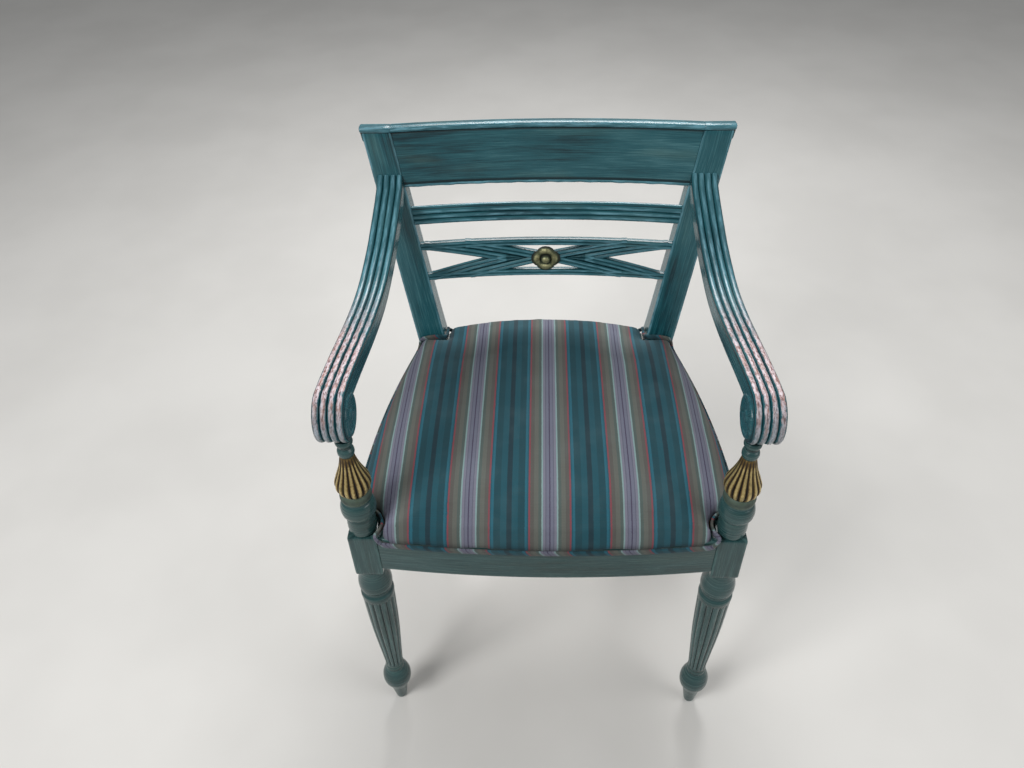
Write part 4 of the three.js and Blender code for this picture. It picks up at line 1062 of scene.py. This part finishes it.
def half_outline(out):
    """Half the seat in plan, from the middle of the front to the middle of the back, as rows of
    x, y, hem height and rim height: the bowed front, an arc round the post, the bowed side,
    a square notch round the upright, and the back."""
    radius = POST_NOTCH - out
    meets = POST_X - math.sqrt(radius**2 - (float(front_face(POST_X - 25)) - out) ** 2)
    xs = np.linspace(0, meets - 1, 40)
    front = np.stack([xs, front_face(xs) - out, 0 * xs + HEM, 0 * xs + FRONT_RIM], 1)
    start = math.atan2(float(front_face(meets)) - out, meets - POST_X)
    side_x = float(side_face(POST_NOTCH - 6)) + out
    side_y = math.sqrt((POST_NOTCH - out) ** 2 - (side_x - POST_X) ** 2)
    turn = np.linspace(start, math.atan2(side_y, side_x - POST_X) - 2 * math.pi, 16)
    ends = np.minimum(np.arange(16), 15 - np.arange(16))
    arc = np.stack([POST_X + radius * np.cos(turn), radius * np.sin(turn), 0 * turn + OPEN_HEM,
                    lerp(FRONT_RIM, 470, np.clip(ends / 4, 0, 1))], 1)
    limit = BACK_DEPTH - NOTCH_GAP + out
    ys = np.linspace(side_y + 1, limit - 1, 56)
    rim = 0 * ys + FRONT_RIM
    side = np.stack([side_face(ys) + out, ys, 0 * ys + HEM, rim], 1)
    inside = float(upright_in(SEAT_LEVEL)) - NOTCH_GAP + out
    edge = BACK_EDGE + out
    corner_x = float(side_face(limit)) + out
    notch_x = np.concatenate([np.linspace(corner_x, inside, 8), np.full(5, inside)])
    notch_y = np.concatenate([np.full(8, limit), np.linspace(limit, edge, 6)[1:]])
    notch = np.stack([notch_x, notch_y, 0 * notch_x + OPEN_HEM, 0 * notch_x + 459], 1)
    bx = np.linspace(inside - 1, 0, 26)
    back = np.stack([bx, 0 * bx + edge, 0 * bx + HEM, lerp(482, 459, (bx / inside) ** 2)], 1)
    return np.concatenate([front, arc, side, notch, back])


def seat_outline(out):
    """The whole loop: the right half, then its mirror image in reverse."""
    right = half_outline(out)
    return np.concatenate([right, (right[1:-1] * [-1, 1, 1, 1])[::-1]])


def seat_ring(outline, share, lift=0.0):
    """The outline shrunk towards the middle by a share, losing its notches on the way, and
    raised from its rim towards the crown by a quarter circle and a slight slope."""
    x, y, _, rim = outline.T
    reach_y = BACK_EDGE - SEAT_MIDDLE
    angle = np.arctan2((y - SEAT_MIDDLE) / reach_y, x / float(side_face(SEAT_MIDDLE)))
    rx = np.sign(np.cos(angle)) * np.abs(np.cos(angle)) ** 0.5
    ry = SEAT_MIDDLE + reach_y * np.sign(np.sin(angle)) * np.abs(np.sin(angle)) ** 0.5
    rx = rx * side_face(ry)
    loosen = min(1, share / 0.25)
    px = lerp(x, rx, loosen) * (1 - share)
    py = SEAT_MIDDLE + (lerp(y, ry, loosen) - SEAT_MIDDLE) * (1 - share)
    roll = math.sqrt(1 - (1 - min(1, share / 0.32)) ** 2)
    z = rim + lift + (crown_at(py) - rim) * (0.85 * roll + 0.15 * share)
    return np.stack([px, py, z], 1)


# %% Blow the seat up
SMALLER, VOXEL, SWELL_CAP = 1.2, 5.0, 6.0
PRESSURE, STEPS = 4.0, 20
PIN_HEIGHT, PIN_FADE = 446, 12
outline = seat_outline(1.8 - SMALLER)
x, y, hem, rim = outline.T
walls = [np.stack([x, y, lerp(hem, rim, t)], 1) for t in (0, 0.33, 0.66)]
shares = np.concatenate([np.linspace(0, 0.08, 5), np.linspace(0.11, 0.97, 26)])
rings = [seat_ring(outline, s, -SMALLER * 1.5) for s in shares]
form = shell(np.stack(walls + rings))

mesh = bpy.data.meshes.new("seat_cloth")
placed = (form["verts"] + [0, BENCH_Y, 0]) * MM
mesh.from_pydata(placed.tolist(), [], form["quads"].tolist() + form["fans"].tolist())
seat = bpy.data.objects.new("seat_cloth", mesh)
bpy.context.scene.collection.objects.link(seat)
bpy.context.view_layer.objects.active = seat


def applied(target):
    """Takes an object's modifiers into its mesh."""
    graph = bpy.context.evaluated_depsgraph_get()
    fresh = bpy.data.meshes.new_from_object(target.evaluated_get(graph), depsgraph=graph)
    target.modifiers.clear()
    target.data = fresh
    return fresh


def places(mesh):
    """A mesh's points as an array of shape (points, 3)."""
    flat = np.empty(len(mesh.vertices) * 3)
    mesh.vertices.foreach_get("co", flat)
    return flat.reshape(-1, 3)


remesh = seat.modifiers.new("remesh", "REMESH")
remesh.mode, remesh.voxel_size = "VOXEL", VOXEL * MM
mesh = applied(seat)
before = places(mesh)
pinned = seat.vertex_groups.new(name="hem")
weight = np.clip(1 - (before[:, 2] / MM - PIN_HEIGHT) / PIN_FADE, 0, 1)
for index in np.flatnonzero(weight > 0).tolist():
    pinned.add([index], float(weight[index]), "REPLACE")
cloth = seat.modifiers.new("cloth", "CLOTH")
settings = cloth.settings
settings.quality = 6
settings.mass = 0.3
settings.use_pressure = True
settings.uniform_pressure_force = PRESSURE
settings.tension_stiffness = settings.compression_stiffness = 40
settings.shear_stiffness = 20
settings.bending_stiffness = 2
settings.effector_weights.gravity = 0
settings.vertex_group_mass = "hem"
cloth.collision_settings.use_collision = False
for step in range(1, STEPS + 1):
    bpy.context.scene.frame_set(step)
mesh = applied(seat)
bpy.context.scene.frame_set(1)
after = places(mesh)
move = after - before
far = np.linalg.norm(move, axis=1, keepdims=True)
after = before + move * np.minimum(1, SWELL_CAP * MM / np.maximum(far, 1e-9))
mesh.vertices.foreach_set("co", after.ravel())
print("the seat swelled by up to", round(float(far.max()) / MM, 1), "mm before the cap")

# %% Hem, thickness and thread directions
import bmesh

CLOTH_THICK = 1.4
ALL_ROUNDS, TOP_ROUNDS = 3, 40
work = bmesh.new()
work.from_mesh(mesh)
bmesh.ops.recalc_face_normals(work, faces=work.faces)
under = [f for f in work.faces if f.normal.z < -0.5]
bmesh.ops.delete(work, geom=under, context="FACES")
loose = [v for v in work.verts if not v.link_faces]
bmesh.ops.delete(work, geom=loose, context="VERTS")
inner_verts = [v for v in work.verts if not v.is_boundary]
top_verts = [v for v in inner_verts if v.normal.z > 0.8]
for chosen, rounds in ((inner_verts, ALL_ROUNDS), (top_verts, TOP_ROUNDS)):
    for _ in range(rounds):
        bmesh.ops.smooth_vert(work, verts=chosen, factor=0.5, use_axis_x=True, use_axis_y=True,
                              use_axis_z=True)
work.to_mesh(mesh)
work.free()
bench = places(mesh) / MM - [0, BENCH_Y, 0]
inside_side = np.abs(bench[:, 0]) / side_face(bench[:, 1])
level = np.clip(468 - bench[:, 2], 0, None)
sideways = np.clip((inside_side - 0.93) / 0.05, 0, 1) * np.clip((bench[:, 1] - 5) / 20, 0, 1)
thread = np.stack([bench[:, 0] + np.sign(bench[:, 0]) * level * sideways,
                   bench[:, 1] + np.sign(bench[:, 1] - 190) * level * (1 - sideways),
                   0 * level], 1) * MM
mark(mesh, "thread", thread)
mesh.shade_smooth()
wall = seat.modifiers.new("thickness", "SOLIDIFY")
wall.thickness, wall.offset = CLOTH_THICK * MM, -1.0
smooth = seat.modifiers.new("smooth", "SUBSURF")
smooth.levels = smooth.render_levels = 1
mesh.materials.clear()
mesh.materials.append(striped)
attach(seat, "root")
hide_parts("seat_cover", "seat_pad")
print("seat:", len(mesh.vertices), "points before subdivision")

# %% [markdown]
# ## The double welt
# Two cords wrapped in the same cloth hide the cut edge all round. It's one loop: low along the
# rails, up and round the posts, up over the uprights' feet. Its section is two round lobes,
# carried along a closed curve, with the upper lobe always upwards or inwards.

# %% Welt


def welt_path():
    """The welt's middle line as points, the right half first, then mirrored."""
    off, low = 4.2, HEM + 4
    post, high = 455.4, 462.0
    end = POST_X - BLOCK_HALF - 0.3
    s = np.array([0, 0.15, 0.3, 0.45, 0.6, 0.75, 0.85]) * end
    rows = [(x, float(front_face(x)) - off, low) for x in s]
    reach = POST_NOTCH - 1.8
    turn = math.pi + math.asin((1.8 - float(front_face(POST_X - 25))) / reach)
    fx, fy = POST_X + reach * math.cos(turn), reach * math.sin(turn)
    rows += [(fx - 7, fy - 2.7, low), (fx - 2.6, fy - 2.7, low + 5), (fx - 1, fy - 2.7, post - 5),
             (fx + 2.2, fy - 1.6, post)]
    for a in np.linspace(turn, 0.47 * math.pi, 7):
        rows.append((POST_X + 25.35 * math.cos(a), 25.35 * math.sin(a), post))
    cx = float(side_face(POST_NOTCH - 6)) + 1.8
    cy = math.sqrt((POST_NOTCH - 1.8) ** 2 - (cx - POST_X) ** 2)
    for degrees in (240, 280, 320, 360):
        a = math.radians(degrees)
        rows.append((cx + 2.7 * math.cos(a), cy + 2.7 * math.sin(a), post))

    def side_x(y):
        return float(side_face(y)) + off

    rows += [(side_x(cy + 6) + 0.3, cy + 6, low + 14), (side_x(44), 44, low + 3)]
    rows += [(side_x(y), y, low) for y in (60, 90, 120, 155, 190, 225, 260, 295, 330)]
    front = BACK_DEPTH - 2.85
    inside = float(upright_in(SEAT_LEVEL)) - 2.85
    edge = BACK_EDGE + off
    rows += [(side_x(front - 12), front - 12, low + 2), (side_x(front) + 0.8, front - 1, low + 12),
             (side_x(front) - 3, front, high - 4), ((side_x(front) + inside) / 2, front, high),
             (inside + 2.5, front, high), (inside, front + 3, high), (inside, edge - 8, high - 3),
             (inside + 0.2, edge + 0.8, high - 12), (inside - 5, edge + 0.6, low + 6),
             (inside - 16, edge, low), (inside * 0.6, edge, low), (inside * 0.3, edge, low),
             (0, edge, low)]
    right = np.array(rows)
    return np.concatenate([right, (right[1:-1] * [-1, 1, 1])[::-1]])


def even(points, count):
    """Points at equal distances along a closed chain."""
    loop = np.concatenate([points, points[:1]])
    at = way_along(loop)
    where = np.arange(count) * at[-1] / count
    return np.stack([np.interp(where, at, loop[:, i]) for i in range(3)], 1), at[-1]


def relaxed(rows, rounds):
    """A closed chain of rows, each moved halfway to the middle of its neighbours each round."""
    for _ in range(rounds):
        rows = 0.5 * rows + 0.25 * (np.roll(rows, 1, 0) + np.roll(rows, -1, 0))
    return rows


knots = welt_path()
path, loop_length = even(cable(knots, len(knots) * 12, closed=True), 1100)
path = relaxed(path, 6)
along = unit(np.roll(path, -1, 0) - np.roll(path, 1, 0))
flat_dir = along * [1, 1, 0]
outwards = (path - [0, SEAT_MIDDLE, 0]) * [1, 1, 0]
side_dir = np.stack([flat_dir[:, 1], -flat_dir[:, 0], 0 * flat_dir[:, 0]], 1)
steep = np.clip((np.abs(along[:, 2:]) - 0.8) / 0.15, 0, 1)
side_dir = relaxed(lerp(side_dir, unit(outwards), steep), 10)
side_dir = unit(side_dir - along * (side_dir * along).sum(1, keepdims=True))
up_dir = np.cross(side_dir, along)
up_dir *= np.where((up_dir[:, 2:] < 0) & (np.abs(along[:, 2:]) < 0.8), -1, 1)
a = (np.arange(24) + 0.5) / 24 * 2 * math.pi
lobe_up = np.where(np.sin(a) > 0, 1, -1) * 2.0 + 2.05 * np.sin(a)
round_part = np.clip(1 - (np.abs(lobe_up) / 2.05 - 1) ** 2, 0.06, 1)
lobe_out = 2.0 * np.sqrt(round_part) * np.sign(np.cos(a))
tall = lerp(1.0, 0.55, np.abs(along[:, 2]))
welt_points = (path[:, None, :] + side_dir[:, None, :] * lobe_out[None, :, None]
               + up_dir[:, None, :] * (lobe_up[None, :] * tall[:, None])[..., None])
step_length = loop_length / len(path)
welt_shell = shell(welt_points, np.clip(np.abs(lobe_out) / 2, 0, 1)[None, :], loop=True)
welt = piece("welt_cord", [welt_shell], striped_cord_shaded, ["welt"], crease=70)
bench = places(welt.data) / MM - [0, BENCH_Y, 0]
walk = np.repeat(np.arange(len(path)) * step_length, 24)
twist = np.tile(lobe_up, len(path))
front_or_back = np.repeat((np.abs(along[:, 0]) > 0.6).astype(float), 24)
thread = np.stack([lerp(walk * 0.9, bench[:, 0], front_or_back) + twist * 0.8, twist + 0 * walk,
                   0 * walk], 1) * MM
mark(welt.data, "thread", thread)
print("welt loop:", round(float(loop_length)), "mm")

# %% [markdown]
# ## Underneath
# Jute webbing and hessian carry the stuffing, and bare corner blocks brace the rails. Their
# solids already have the right plain shapes, so they only get finishes: two crossed sine
# waves for each weave, and long noise streaks for the wood's grain.

# %% Webbing, hessian and bare wood


def jute_look(name, pale, dark, pitch):
    """A coarse plain weave on object coordinates: warp and weft waves, and hairy noise."""
    look = Finish(name, roughness=0.9)
    x, y, _ = look.parts(look.place())
    u, v = look.wave(x, pitch), look.wave(y, pitch)
    hair = look.noise(look.place(), 320.0, 4.0, 0.7)
    dirt = look.noise(look.place(), 18.0, 3.0, 0.6)
    colour = look.mix((u * v * 0.7 + hair * 0.5).ramp(0.1, 0.8), dark, pale)
    colour = look.mix(dirt.ramp(0.45, 0.75) * 0.4, colour, dark)
    look.set("Base Color", colour)
    look.set("Roughness", 0.8 + hair * 0.15)
    look.set("Normal", look.bump(u * 0.5 + v * 0.5 + hair * 0.3, 0.0006, 0.7))
    return look.material


def bare_wood_look():
    """Unpainted beech: streaks along x, pores, and old brown dirt."""
    look = Finish("bare_wood", roughness=0.7)
    grain = look.streaks(look.place(), 12, 140, 5.0, 0.65)
    pores = look.streaks(look.place(), 90, 900, 3.0, 0.6)
    dirt = look.noise(look.place(), 14.0, 4.0, 0.6)
    colour = look.mix(grain.ramp(0.35, 0.7), ink(118, 84, 52), ink(166, 128, 84))
    colour = look.mix(pores.ramp(0.58, 0.7) * 0.5, colour, ink(74, 50, 32))
    colour = look.mix(dirt.ramp(0.5, 0.8) * 0.4, colour, ink(70, 54, 40))
    look.set("Base Color", colour)
    look.set("Roughness", 0.62 + grain * 0.2)
    look.set("Normal", look.bump(grain * 0.5 + pores * 0.5, 0.0004, 0.4))
    return look.material


webbing_look = jute_look("webbing_jute", ink(178, 152, 108), ink(112, 88, 56), 2.2 * MM)
hessian_look = jute_look("hessian_jute", ink(164, 138, 98), ink(98, 76, 48), 1.4 * MM)
wood_look = bare_wood_look()
finishes = {"webbing": webbing_look, "hessian": hessian_look, "corner_block": wood_look}
for name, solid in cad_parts.items():
    for start, finish in finishes.items():
        if name.startswith(start):
            if not solid.material_slots:
                solid.data.materials.append(finish)
            for slot in solid.material_slots:
                slot.material = finish
            print("finish on", name)

# %% [markdown]
# ## Floor, light and camera
# A plain pale floor and three large soft lamps, so colours show about as they are written. The
# world lights weakly, and rays from the camera see it paler.
# The camera stands where the photograph was taken: high in front, looking down at the seat.

# %% Floor
floor_mesh = bpy.data.meshes.new("floor")
floor_mesh.from_pydata([(-6, -6, 0), (6, -6, 0), (6, 6, 0), (-6, 6, 0)], [], [(0, 1, 2, 3)])
floor = bpy.data.objects.new("floor", floor_mesh)
bpy.context.scene.collection.objects.link(floor)
floor_look = Finish("floor_pale", roughness=0.85)
speck = floor_look.noise(floor_look.place(), 3.0, 3.0, 0.5)
floor_tone = floor_look.mix(speck.ramp(0.3, 0.7), ink(206, 204, 200), ink(212, 210, 206))
floor_look.set("Base Color", floor_tone)
floor_mesh.materials.append(floor_look.material)

# %% Lights and world


def lamp(name, place, aim, size, watts):
    """A square soft lamp that faces its aim."""
    data = bpy.data.lights.new(name, "AREA")
    data.shape, data.size, data.energy = "SQUARE", size, watts
    made = bpy.data.objects.new(name, data)
    made.location = place
    made.rotation_euler = (Vector(aim) - Vector(place)).to_track_quat("-Z", "Y").to_euler()
    bpy.context.scene.collection.objects.link(made)
    return made


lamp("lamp_key", (-1.5, -1.5, 2.4), (0, 0, 0.4), 1.0, 52)
lamp("lamp_top", (0.1, 1.4, 2.2), (0, 0.1, 0.6), 1.0, 40)
lamp("lamp_fill", (2.2, -1.0, 1.6), (0, 0, 0.4), 1.6, 20)
world = bpy.data.worlds.new("studio")
world.use_nodes = True
sky = world.node_tree
seen = sky.nodes.new("ShaderNodeBackground")
for shade, colour, strength in ((sky.nodes["Background"], (0.86, 0.88, 0.9, 1), 0.3),
                                (seen, (0.7, 0.7, 0.69, 1), 1.0)):
    shade.inputs["Color"].default_value = colour
    shade.inputs["Strength"].default_value = strength
ray = sky.nodes.new("ShaderNodeLightPath")
either = sky.nodes.new("ShaderNodeMixShader")
for source, target in ((ray.outputs["Is Camera Ray"], either.inputs[0]),
                       (sky.nodes["Background"].outputs[0], either.inputs[1]),
                       (seen.outputs[0], either.inputs[2]),
                       (either.outputs[0], sky.nodes["World Output"].inputs[0])):
    sky.links.new(source, target)
bpy.context.scene.world = world
bpy.context.scene.view_settings.view_transform = "Standard"

# %% Camera
PITCH, YAW, ROLL = np.radians([42.71431, 2.71068, -1.71147])
cp, sp, cy, sy, cr, sr = (np.cos(PITCH), np.sin(PITCH), np.cos(YAW), np.sin(YAW),
                          np.cos(ROLL), np.sin(ROLL))
level = np.array([[1, 0, 0], [0, 0, -1], [0, 1, 0]])
nod = np.array([[1, 0, 0], [0, cp, -sp], [0, sp, cp]])
swing = np.array([[cy, sy, 0], [-sy, cy, 0], [0, 0, 1]])
tilt = np.array([[cr, -sr, 0], [sr, cr, 0], [0, 0, 1]])
sight = tilt @ nod @ level @ swing
turn = Matrix([[sight[0][i], -sight[1][i], -sight[2][i]] for i in range(3)])
camera = bpy.data.objects.new("camera", bpy.data.cameras.new("camera"))
FOCAL_PIXELS, PHOTO_WIDTH, SENSOR_WIDTH = 830, 1024, 36
EYE = Vector((-6.846, -663.724 + BENCH_Y, 1318.202)) * MM
camera.data.lens = FOCAL_PIXELS / PHOTO_WIDTH * SENSOR_WIDTH
camera.data.clip_start = 0.02
camera.matrix_world = Matrix.Translation(EYE) @ turn.to_4x4()
bpy.context.scene.collection.objects.link(camera)
bpy.context.scene.camera = camera
print("camera at", [round(v, 3) for v in camera.location])
